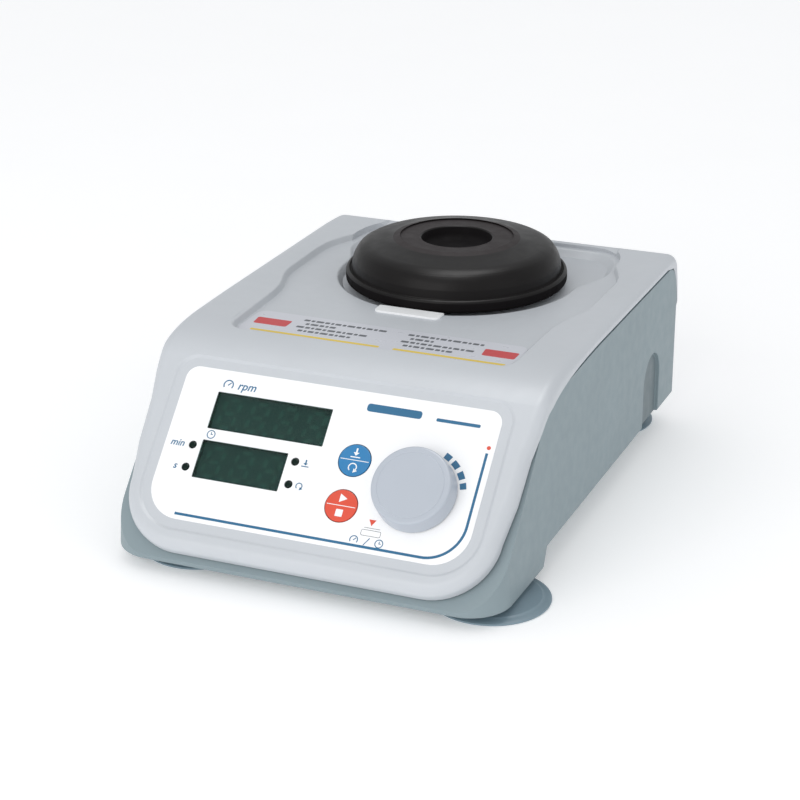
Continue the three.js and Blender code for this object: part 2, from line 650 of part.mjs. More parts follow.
addPart('front_label', frontLabel(), labelWhite, panel);
addPart('speed_window', lens(SPEED_WINDOW), smokedGreen, panel);
addPart('time_window', lens(TIME_WINDOW), smokedGreen, panel);
addPart('speed_display', displayModule(SPEED_WINDOW, 50.3), blackPlastic, panel);
addPart('time_display', displayModule(TIME_WINDOW, 37.6), blackPlastic, panel);
Object.entries(LEDS).forEach(([name, place]) => addPart(name, led(place), ledGreen, panel));
addPart('mode_button', buttonCap(MODE_BUTTON), buttonBlue, panel);
addPart('mode_switch_stem', tactStem(MODE_BUTTON), blackPlastic, panel);
addPart('mode_switch_body', tactBody(MODE_BUTTON), blackPlastic, panel);
addPart('start_button', buttonCap(START_BUTTON), buttonRed, panel);
addPart('start_switch_stem', tactStem(START_BUTTON), blackPlastic, panel);
addPart('start_switch_body', tactBody(START_BUTTON), blackPlastic, panel);
addPart('speed_knob', speedKnob(), knobGrey, panel);
addPart('encoder_shaft', encoderShaft(), aluminium, panel);
addPart('encoder_body', encoderBody(), blackPlastic, panel);
addPart('encoder_nut', encoderNut(), steel, panel);
addPart('display_board', displayBoard(), boardGreen, panel);

addPart('platform', platform(), blackRubber);
addPart('head_hub', headHub(), aluminium);
addPart('head_bearing', headBearing(), steel);
addPart('eccentric_crank', eccentricCrank(), steel);
addPart('counterweight', counterweight(), steel);
addPart('motor_shaft', motorShaft(), steel);
addPart('motor_rotor', motorRotor(), steel);
addPart('motor_stator', motorStator(), copper);
addPart('motor_case', motorCase(), steel);
addPart('lower_bearing', lowerBearing(), steel);
addPart('upper_bearing', upperBearing(), steel);
addPart('motor_plate', motorPlate(), aluminium);
addPart('ballast_plate', ballastPlate(), steel);
Object.entries(POSTS).forEach(([side, place]) => {
  addPart(`guide_post_${side}`, guidePost(place), steel);
  addPart(`spring_${side}`, coilSpring(place), steel);
});
addPart('switch_bracket', switchBracket(), aluminium);
addPart('touch_switch', touchSwitch(), blackPlastic);
addPart('touch_plunger', touchPlunger(), buttonRed);

addPart('control_board', controlBoard(), boardGreen);
addPart('power_module', powerModule(), blackPlastic);
addPart('filter_capacitor', filterCapacitor(), blackPlastic);
addPart('driver_heatsink', driverHeatsink(), aluminium);

addPart('power_inlet', powerInlet(), blackPlastic);
addPart('fuse_drawer', fuseDrawer(), blackPlastic);
addPart('switch_housing', switchHousing(), blackPlastic);
addPart('power_rocker', powerRocker(), blackPlastic);

export default mixer;
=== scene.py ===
"""A bench vortex mixer: the finished pieces, their materials and a plain studio, built round its frame."""

import json
import math

import bmesh
import bpy
from bpy.props import FloatProperty, FloatVectorProperty, PointerProperty
from mathutils import Matrix, Vector
from mathutils.geometry import interpolate_bezier


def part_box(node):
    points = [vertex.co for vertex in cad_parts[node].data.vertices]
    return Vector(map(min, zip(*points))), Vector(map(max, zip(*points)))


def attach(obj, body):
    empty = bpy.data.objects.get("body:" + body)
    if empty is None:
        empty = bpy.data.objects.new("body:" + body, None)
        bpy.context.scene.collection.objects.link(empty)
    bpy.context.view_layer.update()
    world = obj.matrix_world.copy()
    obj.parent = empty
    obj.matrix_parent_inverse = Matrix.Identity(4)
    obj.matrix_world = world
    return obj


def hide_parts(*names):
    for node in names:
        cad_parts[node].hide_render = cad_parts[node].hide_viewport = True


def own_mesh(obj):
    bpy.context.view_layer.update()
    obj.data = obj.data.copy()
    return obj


bl_info = {
    "name": "Bench vortex mixer",
    "version": (1, 0, 0),
    "blender": (4, 5, 0),
    "location": "View3D > Sidebar > Mixer",
    "description": "Builds the finished pieces of a bench vortex mixer round its frame",
    "category": "Add Mesh",
}

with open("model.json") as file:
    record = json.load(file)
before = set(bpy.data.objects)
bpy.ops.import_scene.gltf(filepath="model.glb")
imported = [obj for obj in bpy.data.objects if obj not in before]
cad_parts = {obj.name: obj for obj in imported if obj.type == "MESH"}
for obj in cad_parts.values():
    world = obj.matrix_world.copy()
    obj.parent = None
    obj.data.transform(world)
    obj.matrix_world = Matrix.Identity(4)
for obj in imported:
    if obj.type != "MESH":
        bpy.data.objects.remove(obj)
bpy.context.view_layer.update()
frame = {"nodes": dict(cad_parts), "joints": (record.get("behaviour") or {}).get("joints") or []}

# ---------------------------------------------------------------- places taken from the frame

MM = 0.001                       # the model is drawn in millimetres and kept in metres


def mm(vector):
    return Vector(vector) / MM


def node_box(node):
    """The lowest and highest corners of a CAD node, in millimetres."""
    return [mm(corner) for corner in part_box(node)]


def joint(name):
    return next(j for j in frame["joints"] if j["name"] == name)


PANEL_NORMAL = Vector(joint("knob_turn")["axis"]).normalized()
PANEL_UP = PANEL_NORMAL.cross(Vector((1, 0, 0)))
LABEL_THICK = 0.6
label_low, label_high = node_box("front_label")
PANEL_ORIGIN = (label_low + label_high) / 2 + PANEL_NORMAL * LABEL_THICK / 2
PANEL = Matrix((
    (1, PANEL_UP.x, PANEL_NORMAL.x, PANEL_ORIGIN.x),
    (0, PANEL_UP.y, PANEL_NORMAL.y, PANEL_ORIGIN.y),
    (0, PANEL_UP.z, PANEL_NORMAL.z, PANEL_ORIGIN.z),
    (0, 0, 0, 1)))


def panel_box(node):
    """A node's low and high corners on the panel: u to the right, v up the slope, n out of it."""
    back = PANEL.inverted()
    points = [back @ mm(v.co) for v in frame["nodes"][node].data.vertices]
    return Vector(map(min, zip(*points))), Vector(map(max, zip(*points)))


def panel_point(v, n):
    """The [y, z] place of a panel point in side view."""
    point = PANEL @ Vector((0, v, n))
    return Vector((point.y, point.z))


cover_low, cover_high = node_box("top_cover")
base_low, base_high = node_box("base_shell")
HALF_WIDTH = base_high.x
DECK_Z = cover_high.z
BACK_Y = cover_high.y
FRONT_Y = base_low.y
PLINTH_Z = base_low.z
FLANGE_LOW_Z = cover_low.z
MOTOR = mm(joint("motor_spin")["pos_m"])
HEAD = mm(joint("head_orbit")["pos_m"])
KNOB = PANEL.inverted() @ mm(joint("knob_turn")["pos_m"])
PLATFORM_LOW, PLATFORM_HIGH = node_box("platform")
PLATFORM_RADIUS = (PLATFORM_HIGH.x - PLATFORM_LOW.x) / 2

FLOOR_Z = 13.3                   # underside of the base behind the plinth
PLINTH_BACK_Y = FRONT_Y + 54
SKIN = 0.6                       # the cover stands this much proud of the label
COVER_LOW_V = -45.5              # the cover's lower edge, down the panel
KNEE_V = 37                      # where the panel starts to bend into the deck
KNEE_END_Y = -36                 # where the bend meets the deck
BACK_FILLET = 8
DECK_RIM = 3.7                   # from the deck down to the seam
GAP = 0.3
SEAM_GAP = 0.9                   # the shadow line between cover and base
SLOT_DEPTH = 1.8
FRONT_TAPER = 34                 # how deep behind the panel the base narrows
FRONT_DRAW = 0.03                # share by which it narrows at the panel
WELL_DEPTH = 3
WELL_FRONT_Y = -51.5
POCKET_DEPTH = 6.2
PRINT = 0.05                     # height of a printed mark over its surface
COVER_DEPTH = 8.0                # how deep the cover's rim reaches where no seam ends it
COVER_CORNER = 27                # rounding of the cover's lower corners
POCKET_RADIUS = 55
RAMP_Y = 98                      # where the recess floor begins to rise
SHAFT_HOLE = 13
BASE_WALL = 3
BASE_CORNER = 17
SLOT_RADIUS = 12.5
SLOT_Y = 80.35
LED_RADIUS = 1.5
BUTTON_RADIUS = 6.75
DIGIT_PITCH = 12.7


# ---------------------------------------------------------------- settings

class MixerSizes(bpy.types.PropertyGroup):
    """Edge roundings and wall slopes of the mixer."""
    cover_edge: FloatProperty(
        name="Cover edge", description="Width of the cover's rounded edge",
        default=4.8 * MM, min=1 * MM, max=8 * MM, unit="LENGTH")
    base_edge: FloatProperty(
        name="Base edge", description="Rounding of the base's upper edge",
        default=1.8 * MM, min=0.2 * MM, max=3 * MM, unit="LENGTH")
    well_slope: FloatProperty(
        name="Recess slope", description="Width of the sloped wall round the deck's recess",
        default=1.7 * MM, min=0.5 * MM, max=4 * MM, unit="LENGTH")


def colour_property(name, description, default):
    return FloatVectorProperty(
        name=name, description=description, subtype="COLOR", size=3, min=0, max=1, default=default)


class MixerColours(bpy.types.PropertyGroup):
    """Colours of the mixer's finishes, as linear values."""
    cover: colour_property("Cover", "Pale grey moulding", (0.545, 0.572, 0.605))
    base: colour_property("Base", "Blue-grey moulding", (0.235, 0.297, 0.322))
    label: colour_property("Label", "White overlay", (0.93, 0.935, 0.945))
    rubber: colour_property("Rubber", "Black rubber of the platform", (0.007, 0.006, 0.006))
    cup: colour_property("Cup", "Blue-grey rubber of the feet", (0.19, 0.27, 0.32))
    knob: colour_property("Knob", "Satin grey of the knob", (0.45, 0.49, 0.55))
    blue: colour_property("Blue", "Blue print and key", (0.010, 0.19, 0.44))
    red: colour_property("Orange-red", "Orange-red key", (0.70, 0.066, 0.028))
    yellow: colour_property("Yellow", "Yellow print", (0.74, 0.54, 0.05))
    lens: colour_property("Lens", "Smoked green lens", (0.58, 0.76, 0.72))


# ---------------------------------------------------------------- outlines, in millimetres

def arc(centre, radius, start, end, steps):
    """Points on an arc, with its angles in degrees."""
    angles = [math.radians(start + (end - start) * i / steps) for i in range(steps + 1)]
    return [(centre[0] + radius * math.cos(a), centre[1] + radius * math.sin(a)) for a in angles]


def circle(radius, centre=(0, 0), steps=48):
    return arc(centre, radius, 0, 360, steps)[:-1]


def rounded_rect(low, high, radii, steps=8):
    """A rectangle whose corners are rounded: low right, high right, high left, low left."""
    corners = [(high[0], low[1]), (high[0], high[1]), (low[0], high[1]), (low[0], low[1])]
    inward = [(-1, 1), (-1, -1), (1, -1), (1, 1)]
    points = []
    for i, (corner, side, radius) in enumerate(zip(corners, inward, radii)):
        centre = (corner[0] + side[0] * radius, corner[1] + side[1] * radius)
        points += arc(centre, radius, -90 + 90 * i, 90 * i, steps)
    return points


def grown_rect(low, high, radii, steps=8):
    """A function that gives the rounded rectangle grown by so much."""
    def outline(grow):
        return rounded_rect(
            (low[0] - grow, low[1] - grow), (high[0] + grow, high[1] + grow),
            [max(radius + grow, 0.05) for radius in radii], steps)
    return outline


def grown_circle(radius, centre=(0, 0), steps=40):
    return lambda grow: circle(radius + grow, centre, steps)


def offset_corners(points, grow):
    """The corners of a closed anticlockwise polygon with its sides moved out."""
    count = len(points)
    moved = []
    for i in range(count):
        before, here, after = (Vector(points[j % count]) for j in (i - 1, i, i + 1))
        first = (here - before).normalized()
        second = (after - here).normalized()
        normals = [Vector((d.y, -d.x)) for d in (first, second)]
        middle = (normals[0] + normals[1]).normalized()
        moved.append(here + middle * grow / middle.dot(normals[0]))
    return moved


def round_corners(points, radii, steps=6):
    """A closed polygon with each corner replaced by a smooth curve."""
    count = len(points)
    outline = []
    for i, radius in enumerate(radii):
        before, here, after = (Vector(points[j % count]) for j in (i - 1, i, i + 1))
        start = here + (before - here).normalized() * min(radius, (before - here).length * 0.49)
        end = here + (after - here).normalized() * min(radius, (after - here).length * 0.49)
        for k in range(steps + 1):
            t = k / steps
            outline.append(start * (1 - t) ** 2 + here * 2 * t * (1 - t) + end * t ** 2)
    return outline


def quadratic(start, control, end, steps):
    """Points along a quadratic curve."""
    points = []
    for i in range(steps + 1):
        t = i / steps
        arms = Vector(start) * (1 - t) ** 2 + Vector(control) * 2 * t * (1 - t)
        points.append(arms + Vector(end) * t ** 2)
    return points


# ---------------------------------------------------------------- mesh helpers, in millimetres

def add_loop(bm, points, height):
    verts = [bm.verts.new((x, y, height)) for x, y in points]
    return [bm.edges.new((verts[i - 1], verts[i])) for i in range(len(verts))]


def stack(outline, levels, bm=None):
    """A closed body through outline(grow) at each (grow, height) level."""
    bm = bm or bmesh.new()
    start = len(bm.faces)
    loops = [add_loop(bm, outline(grow), height) for grow, height in levels]
    for low, high in zip(loops, loops[1:]):
        bmesh.ops.bridge_loops(bm, edges=low + high)
    for end in (loops[0], loops[-1]):
        bmesh.ops.contextual_create(bm, geom=end)
    bm.faces.ensure_lookup_table()
    bmesh.ops.recalc_face_normals(bm, faces=bm.faces[start:])
    return bm


def plate(outline, low, high, bm=None):
    """An outline raised from one height to another."""
    return stack(lambda grow: outline, [(0, low), (0, high)], bm)


def soft_plate(outline, low, high, edge):
    """A raised outline whose upper edge is rounded."""
    curve = [(-edge * (1 - math.cos(a)), high - edge * (1 - math.sin(a)))
             for a in (0, math.pi / 8, math.pi / 4, 3 * math.pi / 8, math.pi / 2)]
    return stack(outline, [(0, low)] + curve)


def lathe(profile, centre=(0, 0), steps=64, bm=None):
    """A [radius, height] profile spun about the upright line through centre."""
    part = bmesh.new()
    verts = [part.verts.new((radius, 0, height)) for radius, height in profile]
    edges = [part.edges.new(pair) for pair in zip(verts, verts[1:])]
    bmesh.ops.spin(
        part, geom=verts + edges, cent=(0, 0, 0), axis=(0, 0, 1), angle=2 * math.pi,
        steps=steps, use_merge=True, use_duplicate=False)
    bmesh.ops.remove_doubles(part, verts=part.verts, dist=1e-4)
    bmesh.ops.recalc_face_normals(part, faces=part.faces)
    bmesh.ops.translate(part, vec=(*centre, 0), verts=part.verts)
    return join(bm, part) if bm else part


def fillet(corner, toward_a, toward_b, radius, steps=5):
    """Points that round a profile's corner between two neighbours."""
    corner = Vector(corner)
    start = corner + (Vector(toward_a) - corner).normalized() * radius
    end = corner + (Vector(toward_b) - corner).normalized() * radius
    return quadratic(start, corner, end, steps)


def smooth_profile(points, radii):
    """An open profile with its inner corners rounded."""
    profile = [Vector(points[0])]
    for before, here, after, radius in zip(points, points[1:], points[2:], radii):
        profile += fillet(here, before, after, radius) if radius else [Vector(here)]
    return profile + [Vector(points[-1])]


def box(low, high, edge=0.0, bm=None):
    """A block with its edges eased."""
    part = bmesh.new()
    bmesh.ops.create_cube(part, size=1)
    bmesh.ops.scale(part, vec=[b - a for a, b in zip(low, high)], verts=part.verts)
    bmesh.ops.translate(part, vec=[(a + b) / 2 for a, b in zip(low, high)], verts=part.verts)
    if edge:
        bmesh.ops.bevel(
            part, geom=part.edges[:], offset=edge, offset_type="OFFSET", segments=2,
            profile=0.5, affect="EDGES", material=-1)
    return join(bm, part) if bm else part


def join(bm, part):
    """Adds part's mesh to bm and frees it."""
    mesh = bpy.data.meshes.new("joining")
    part.to_mesh(mesh)
    part.free()
    bm.from_mesh(mesh)
    bpy.data.meshes.remove(mesh)
    return bm


def moved(bm, matrix):
    bmesh.ops.transform(bm, matrix=matrix, verts=bm.verts)
    return bm


def on_panel(bm):
    return moved(bm, PANEL)


def on_side(side=1):
    """Stands a plate drawn in y and z on the side wall, right for 1 and left for -1."""
    return Matrix(((0, 0, side, 0), (1, 0, 0, 0), (0, 1, 0, 0), (0, 0, 0, 1)))


def on_back(x, z):
    """Turns a plate drawn about a place on the rear panel to face back."""
    return Matrix(((-1, 0, 0, x), (0, 0, 1, 0), (0, 1, 0, z), (0, 0, 0, 1)))


def spare_object(bm, name="spare"):
    mesh = bpy.data.meshes.new(name)
    bm.to_mesh(mesh)
    bm.free()
    spare = bpy.data.objects.new(name, mesh)
    bpy.context.scene.collection.objects.link(spare)
    return spare


def drop(spare):
    """Removes a spare object and its mesh."""
    mesh = spare.data
    bpy.data.objects.remove(spare)
    bpy.data.meshes.remove(mesh)


def boolean(bm, tools, operation="DIFFERENCE"):
    """The body after each tool is cut from it, joined to it or met with it. The tools are freed."""
    body = spare_object(bm)
    spares = [spare_object(tool, "tool") for tool in tools]
    for spare in spares:
        change = body.modifiers.new("change", "BOOLEAN")
        change.operation = operation
        change.solver = "EXACT"
        change.object = spare
    graph = bpy.context.evaluated_depsgraph_get()
    mesh = bpy.data.meshes.new_from_object(body.evaluated_get(graph))
    result = bmesh.new()
    result.from_mesh(mesh)
    bpy.data.meshes.remove(mesh)
    for spare in [body, *spares]:
        drop(spare)
    bmesh.ops.remove_doubles(result, verts=result.verts, dist=1e-4)
    bmesh.ops.dissolve_limit(
        result, angle_limit=math.radians(0.1), verts=result.verts, edges=result.edges)
    return result


def make_piece(name, bm, material, body, replaces=(), sharp=35):
    """Turns millimetres into metres and makes the named piece, which rides on its body."""
    bmesh.ops.scale(bm, vec=(MM, MM, MM), verts=bm.verts)
    mesh = bpy.data.meshes.new(name)
    bm.to_mesh(mesh)
    bm.free()
    mesh.shade_smooth()
    mesh.set_sharp_from_angle(angle=math.radians(sharp))
    piece = bpy.data.objects.new(name, mesh)
    bpy.context.scene.collection.objects.link(piece)
    mesh.materials.append(material)
    weighted = piece.modifiers.new("even normals", "WEIGHTED_NORMAL")
    weighted.keep_sharp = True
    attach(piece, body)
    if replaces:
        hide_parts(*replaces)
    return piece


# ---------------------------------------------------------------- materials

def new_material(name):
    material = bpy.data.materials.new(name)
    material.use_nodes = True
    tree = material.node_tree
    return material, tree, tree.nodes["Principled BSDF"]


def noise(tree, scale, detail=2.0):
    """A noise that reads the object's own coordinates."""
    place = tree.nodes.new("ShaderNodeTexCoord")
    node = tree.nodes.new("ShaderNodeTexNoise")
    node.inputs["Scale"].default_value = scale
    node.inputs["Detail"].default_value = detail
    tree.links.new(place.outputs["Object"], node.inputs["Vector"])
    return node


def spread(tree, source, low, high):
    """Maps a noise's middle range onto low to high."""
    node = tree.nodes.new("ShaderNodeMapRange")
    node.inputs["From Min"].default_value = 0.3
    node.inputs["From Max"].default_value = 0.7
    node.inputs["To Min"].default_value = low
    node.inputs["To Max"].default_value = high
    tree.links.new(source, node.inputs["Value"])
    return node.outputs["Result"]


def two_tone(tree, factor, first, second):
    mix = tree.nodes.new("ShaderNodeMix")
    mix.data_type = "RGBA"
    mix.inputs["A"].default_value = (*first, 1)
    mix.inputs["B"].default_value = (*second, 1)
    tree.links.new(factor, mix.inputs["Factor"])
    return mix.outputs["Result"]


def shaded(colour, amount):
    return tuple(min(1.0, c * amount) for c in colour)


def moulded(name, colour, roughness, grain=900, depth=0.02, tone=0.04, patch=25, sockets=None):
    """A moulded finish: faint clouds of tone, uneven gloss and a fine grain."""
    material, tree, shader = new_material(name)
    clouds = noise(tree, patch, 3)
    factor = spread(tree, clouds.outputs["Fac"], 0, 1)
    base = two_tone(tree, factor, shaded(colour, 1 - tone), shaded(colour, 1 + tone))
    tree.links.new(base, shader.inputs["Base Color"])
    gloss = noise(tree, patch * 7, 4)
    rough = spread(tree, gloss.outputs["Fac"], roughness * 0.88, roughness * 1.12)
    tree.links.new(rough, shader.inputs["Roughness"])
    fine = noise(tree, grain, 3)
    bump = tree.nodes.new("ShaderNodeBump")
    bump.inputs["Strength"].default_value = 0.35
    bump.inputs["Distance"].default_value = depth * MM
    tree.links.new(fine.outputs["Fac"], bump.inputs["Height"])
    tree.links.new(bump.outputs["Normal"], shader.inputs["Normal"])
    for socket, value in (sockets or {}).items():
        shader.inputs[socket].default_value = value
    return material


def printed(name, colour, roughness=0.45, tone=0.04):
    """Smooth ink, with the fine grain of a screen print."""
    return moulded(name, colour, roughness, grain=1500, depth=0.008, tone=tone)


def machined(name, colour, roughness, stretch=(40, 40, 900)):
    """Metal with fine tool marks."""
    material, tree, shader = new_material(name)
    shader.inputs["Metallic"].default_value = 1
    place = tree.nodes.new("ShaderNodeTexCoord")
    turn = tree.nodes.new("ShaderNodeMapping")
    turn.inputs["Scale"].default_value = stretch
    marks = tree.nodes.new("ShaderNodeTexNoise")
    marks.inputs["Scale"].default_value = 1
    marks.inputs["Detail"].default_value = 5
    tree.links.new(place.outputs["Object"], turn.inputs["Vector"])
    tree.links.new(turn.outputs["Vector"], marks.inputs["Vector"])
    factor = spread(tree, marks.outputs["Fac"], 0, 1)
    tree.links.new(
        two_tone(tree, factor, shaded(colour, 0.86), shaded(colour, 1.08)), shader.inputs["Base Color"])
    tree.links.new(
        spread(tree, marks.outputs["Fac"], roughness * 0.75, roughness * 1.3), shader.inputs["Roughness"])
    bump = tree.nodes.new("ShaderNodeBump")
    bump.inputs["Strength"].default_value = 0.2
    bump.inputs["Distance"].default_value = 0.02 * MM
    tree.links.new(marks.outputs["Fac"], bump.inputs["Height"])
    tree.links.new(bump.outputs["Normal"], shader.inputs["Normal"])
    return material


def circuit_board(name):
    """Green solder mask over faint copper tracks."""
    material, tree, shader = new_material(name)
    place = tree.nodes.new("ShaderNodeTexCoord")
    cells = tree.nodes.new("ShaderNodeTexBrick")
    cells.inputs["Scale"].default_value = 160
    cells.inputs["Mortar Size"].default_value = 0.06
    cells.inputs["Color1"].default_value = (0.012, 0.085, 0.035, 1)
    cells.inputs["Color2"].default_value = (0.015, 0.10, 0.042, 1)
    cells.inputs["Mortar"].default_value = (0.03, 0.17, 0.07, 1)
    tree.links.new(place.outputs["Object"], cells.inputs["Vector"])
    tree.links.new(cells.outputs["Color"], shader.inputs["Base Color"])
    gloss = noise(tree, 400, 3)
    tree.links.new(spread(tree, gloss.outputs["Fac"], 0.3, 0.5), shader.inputs["Roughness"])
    return material


def smoked_lens(name, colour):
    """A clear tinted window with a faint unevenness in its gloss."""
    material, tree, shader = new_material(name)
    tint = noise(tree, 30, 2)
    factor = spread(tree, tint.outputs["Fac"], 0, 1)
    tree.links.new(
        two_tone(tree, factor, shaded(colour, 0.94), shaded(colour, 1.06)), shader.inputs["Base Color"])
    gloss = noise(tree, 120, 3)
    tree.links.new(spread(tree, gloss.outputs["Fac"], 0.05, 0.10), shader.inputs["Roughness"])
    shader.inputs["Transmission Weight"].default_value = 1.0
    shader.inputs["IOR"].default_value = 1.2
    return material


MATERIALS = {}


def make_materials():
    """Every finish, by its name."""
    tint = bpy.context.scene.mixer_colours
    MATERIALS.update({
        "cover": moulded("Pale grey moulding", tint.cover, 0.42, tone=0.012),
        "base": moulded("Blue-grey moulding", tint.base, 0.5, tone=0.025),
        "label": moulded("White overlay", tint.label, 0.5, grain=1500, depth=0.01, tone=0.008),
        "rubber": moulded(
            "Black rubber", tint.rubber, 0.38, grain=1300, tone=0.12, sockets={"Specular IOR Level": 0.16}),
        "skirt": moulded(
            "Dull rubber skirt", (0.006, 0.005, 0.0055), 0.75, grain=1300, tone=0.1,
            sockets={"Specular IOR Level": 0.08}),
        "ring": moulded("Worn rubber ring", (0.024, 0.0185, 0.0195), 0.6, grain=1600, depth=0.03, tone=0.1,
                        sockets={"Specular IOR Level": 0.2}),
        # The slot floor's finish is the base colour darkened: painted shade for the recess.
        "slot": moulded("Painted slot shade", shaded(tint.base, 0.66), 0.55, tone=0.03),
        "print": printed("Dark blue print", (0.006, 0.125, 0.26)),
        "cup": moulded("Soft cup rubber", tint.cup, 0.42, tone=0.05, patch=60),
        "knob": moulded("Satin knob", tint.knob, 0.38, grain=1400, depth=0.01, tone=0.015),
        "blue": printed("Blue print", tint.blue, 0.42),
        "red": printed("Orange-red print", tint.red, 0.42),
        "signal": printed("Red print", (0.56, 0.03, 0.036), tone=0.05),
        "yellow": printed("Yellow print", tint.yellow, 0.5, 0.05),
        "white": printed("White print", (0.9, 0.91, 0.92), tone=0.01),
        "ink": printed("Grey print", (0.10, 0.11, 0.125), 0.5, 0.08),
        "strip": moulded("Clear strip", (0.60, 0.615, 0.665), 0.3, grain=1200, depth=0.008, tone=0.015),
        "lens": smoked_lens("Smoked lens", tint.lens),
        "digit": moulded("Unlit digits", (0.022, 0.062, 0.054), 0.5, grain=1500, tone=0.06),
        "digit_field": moulded("Display face", (0.012, 0.036, 0.032), 0.5, grain=1500, tone=0.06),
        "led": moulded("Dark lamp lens", (0.002, 0.012, 0.009), 0.3, tone=0.1,
                       sockets={"Specular IOR Level": 0.12}),
        "black": moulded("Black moulding", (0.016, 0.016, 0.018), 0.42, tone=0.1),
        "board": circuit_board("Circuit board"),
        "steel": machined("Machined steel", (0.52, 0.53, 0.54), 0.32),
        "aluminium": machined("Machined aluminium", (0.72, 0.73, 0.74), 0.38, (500, 40, 40)),
        "copper": machined("Copper windings", (0.62, 0.27, 0.12), 0.35, (60, 60, 2200)),
    })


# ---------------------------------------------------------------- casing

def side_path():
    """The cover's outer skin in side view, as closely spaced points."""
    corner_v = (DECK_Z - PANEL_ORIGIN.z - SKIN * PANEL_NORMAL.z) / PANEL_UP.z
    start = panel_point(KNEE_V, SKIN)
    corner = panel_point(corner_v, SKIN)
    points = [panel_point(COVER_LOW_V + i, SKIN) for i in range(0, 79, 6)]
    points += quadratic(start, corner, (KNEE_END_Y, DECK_Z), 22)
    points += [Vector((y, DECK_Z)) for y in range(-30, 111, 10)]
    points += [Vector(p) for p in arc((BACK_Y - BACK_FILLET, DECK_Z - BACK_FILLET), BACK_FILLET, 90, 0, 12)]
    points += [Vector((BACK_Y, z)) for z in (70, 65, 62, 58.8, 55, 50, 45, 40, 33, FLANGE_LOW_Z)]
    return points


def seam_path(clearance=0.0):
    """The seam between cover and base in side view."""
    rim = DECK_Z - DECK_RIM - clearance
    points = [panel_point(-60, -7.4 - clearance), panel_point(-20, -7.4 - clearance),
              panel_point(10, -6.6 - clearance)]
    points += quadratic(panel_point(32, -5.5 - clearance), (-62, rim - 0.5), (-3, rim), 14)
    points += quadratic((BACK_Y - 17, rim), (BACK_Y - 6, rim), (BACK_Y - 2.6 - clearance, 65), 8)
    points += [Vector((BACK_Y - 1.1 - clearance, 58.8)), Vector((BACK_Y - 0.2, 33))]
    return points


class Skin:
    """Lengths, places, normals and wall depths along the cover's side view."""

    def __init__(self):
        self.points = side_path()
        self.lengths = [0.0]
        for before, after in zip(self.points, self.points[1:]):
            self.lengths.append(self.lengths[-1] + (after - before).length)
        directions = [(b - a).normalized() for a, b in zip(self.points, self.points[1:])]
        pairs = zip([directions[0]] + directions, directions + [directions[-1]])
        tangents = [(a + b).normalized() for a, b in pairs]
        self.normals = [Vector((-t.y, t.x)) for t in tangents]
        seam = seam_path()
        self.depths = [self.seam_depth(p, n, seam) for p, n in zip(self.points, self.normals)]

    @staticmethod
    def seam_depth(point, normal, seam):
        """How far the wall goes in from the skin before it meets the seam."""
        depths = [COVER_DEPTH]
        for start, end in zip(seam, seam[1:]):
            along = end - start
            det = normal.x * along.y - normal.y * along.x
            if abs(det) < 1e-9:
                continue
            gap = point - start
            share = (gap.x * normal.y - gap.y * normal.x) / -det
            depth = (gap.x * along.y - gap.y * along.x) / det
            if -1e-6 <= share <= 1.000001 and depth > 0:
                depths.append(max(depth, 1.0))
        return min(depths)

    def place(self, length, share):
        """The [y, z] place at a length along the skin and a share of the wall's depth."""
        last = len(self.lengths) - 2
        i = next((k for k in range(last) if self.lengths[k + 1] >= length), last)
        t = (length - self.lengths[i]) / (self.lengths[i + 1] - self.lengths[i])
        point = self.points[i].lerp(self.points[i + 1], t)
        normal = self.normals[i].lerp(self.normals[i + 1], t).normalized()
        depth = self.depths[i] * (1 - t) + self.depths[i + 1] * t
        return point + normal * depth * share


def cover_blank():
    """The bent sheet of the cover: a flat slab with a rounded edge, bent to the side view."""
    skin = Skin()
    end = skin.lengths[-1]
    corner = (53.5, COVER_LOW_V + COVER_CORNER)
    shift = -COVER_LOW_V
    knee = KNEE_V + shift
    narrow = next(l for l, p in zip(skin.lengths, skin.points) if p.x > BACK_Y - 0.01 and p.y < 59)
    right = [(p[0], p[1] + shift) for p in arc(corner, COVER_CORNER, -90, 0, 14)]
    right += [(82.6, 43.1), (83.3, 62.1), (85, 75.5), (HALF_WIDTH, knee + 7)]
    right += [(HALF_WIDTH, narrow), (82.9, narrow + 14), (82.9, end)]
    outline = right + [(-x, s) for x, s in reversed(right)]
    bm = plate(outline, -COVER_DEPTH, 0)
    top = [e for e in bm.edges
           if all(v.co.z > -0.001 for v in e.verts) and not all(v.co.y > end - 0.01 for v in e.verts)]
    edge = bpy.context.scene.mixer_sizes.cover_edge / MM
    bmesh.ops.bevel(
        bm, geom=top, offset=edge, offset_type="OFFSET", segments=9, profile=0.5,
        affect="EDGES", clamp_overlap=False, material=-1)
    bottom = [e for e in bm.edges if all(v.co.z < 0.001 - COVER_DEPTH for v in e.verts)]
    bmesh.ops.bevel(
        bm, geom=bottom, offset=0.45, offset_type="OFFSET", segments=2, profile=0.5,
        affect="EDGES", clamp_overlap=False, material=-1)
    for length in skin.lengths[1:-1]:
        bmesh.ops.bisect_plane(
            bm, geom=bm.verts[:] + bm.edges[:] + bm.faces[:], dist=1e-4,
            plane_co=(0, length, 0), plane_no=(0, 1, 0))
    for v in bm.verts:
        place = skin.place(v.co.y, v.co.z / COVER_DEPTH)
        v.co = (v.co.x, place.x, place.y)
    bmesh.ops.recalc_face_normals(bm, faces=bm.faces)
    return bm


def well_outline(grow):
    """The deck's recess, widest beside the platform, with its sides moved out."""
    right = [(63.5, WELL_FRONT_Y, 8), (65, 5, 14), (72, 23, 9), (72.6, 70, 12), (65.8, 86, 7),
             (61.5, 94, 6), (58, BACK_Y + 6, 1)]
    corners = [(x, y) for x, y, r in right] + [(-x, y) for x, y, r in reversed(right)]
    radii = [r for x, y, r in right] + [r for x, y, r in reversed(right)]
    return round_corners(offset_corners(corners, grow), radii, 7)


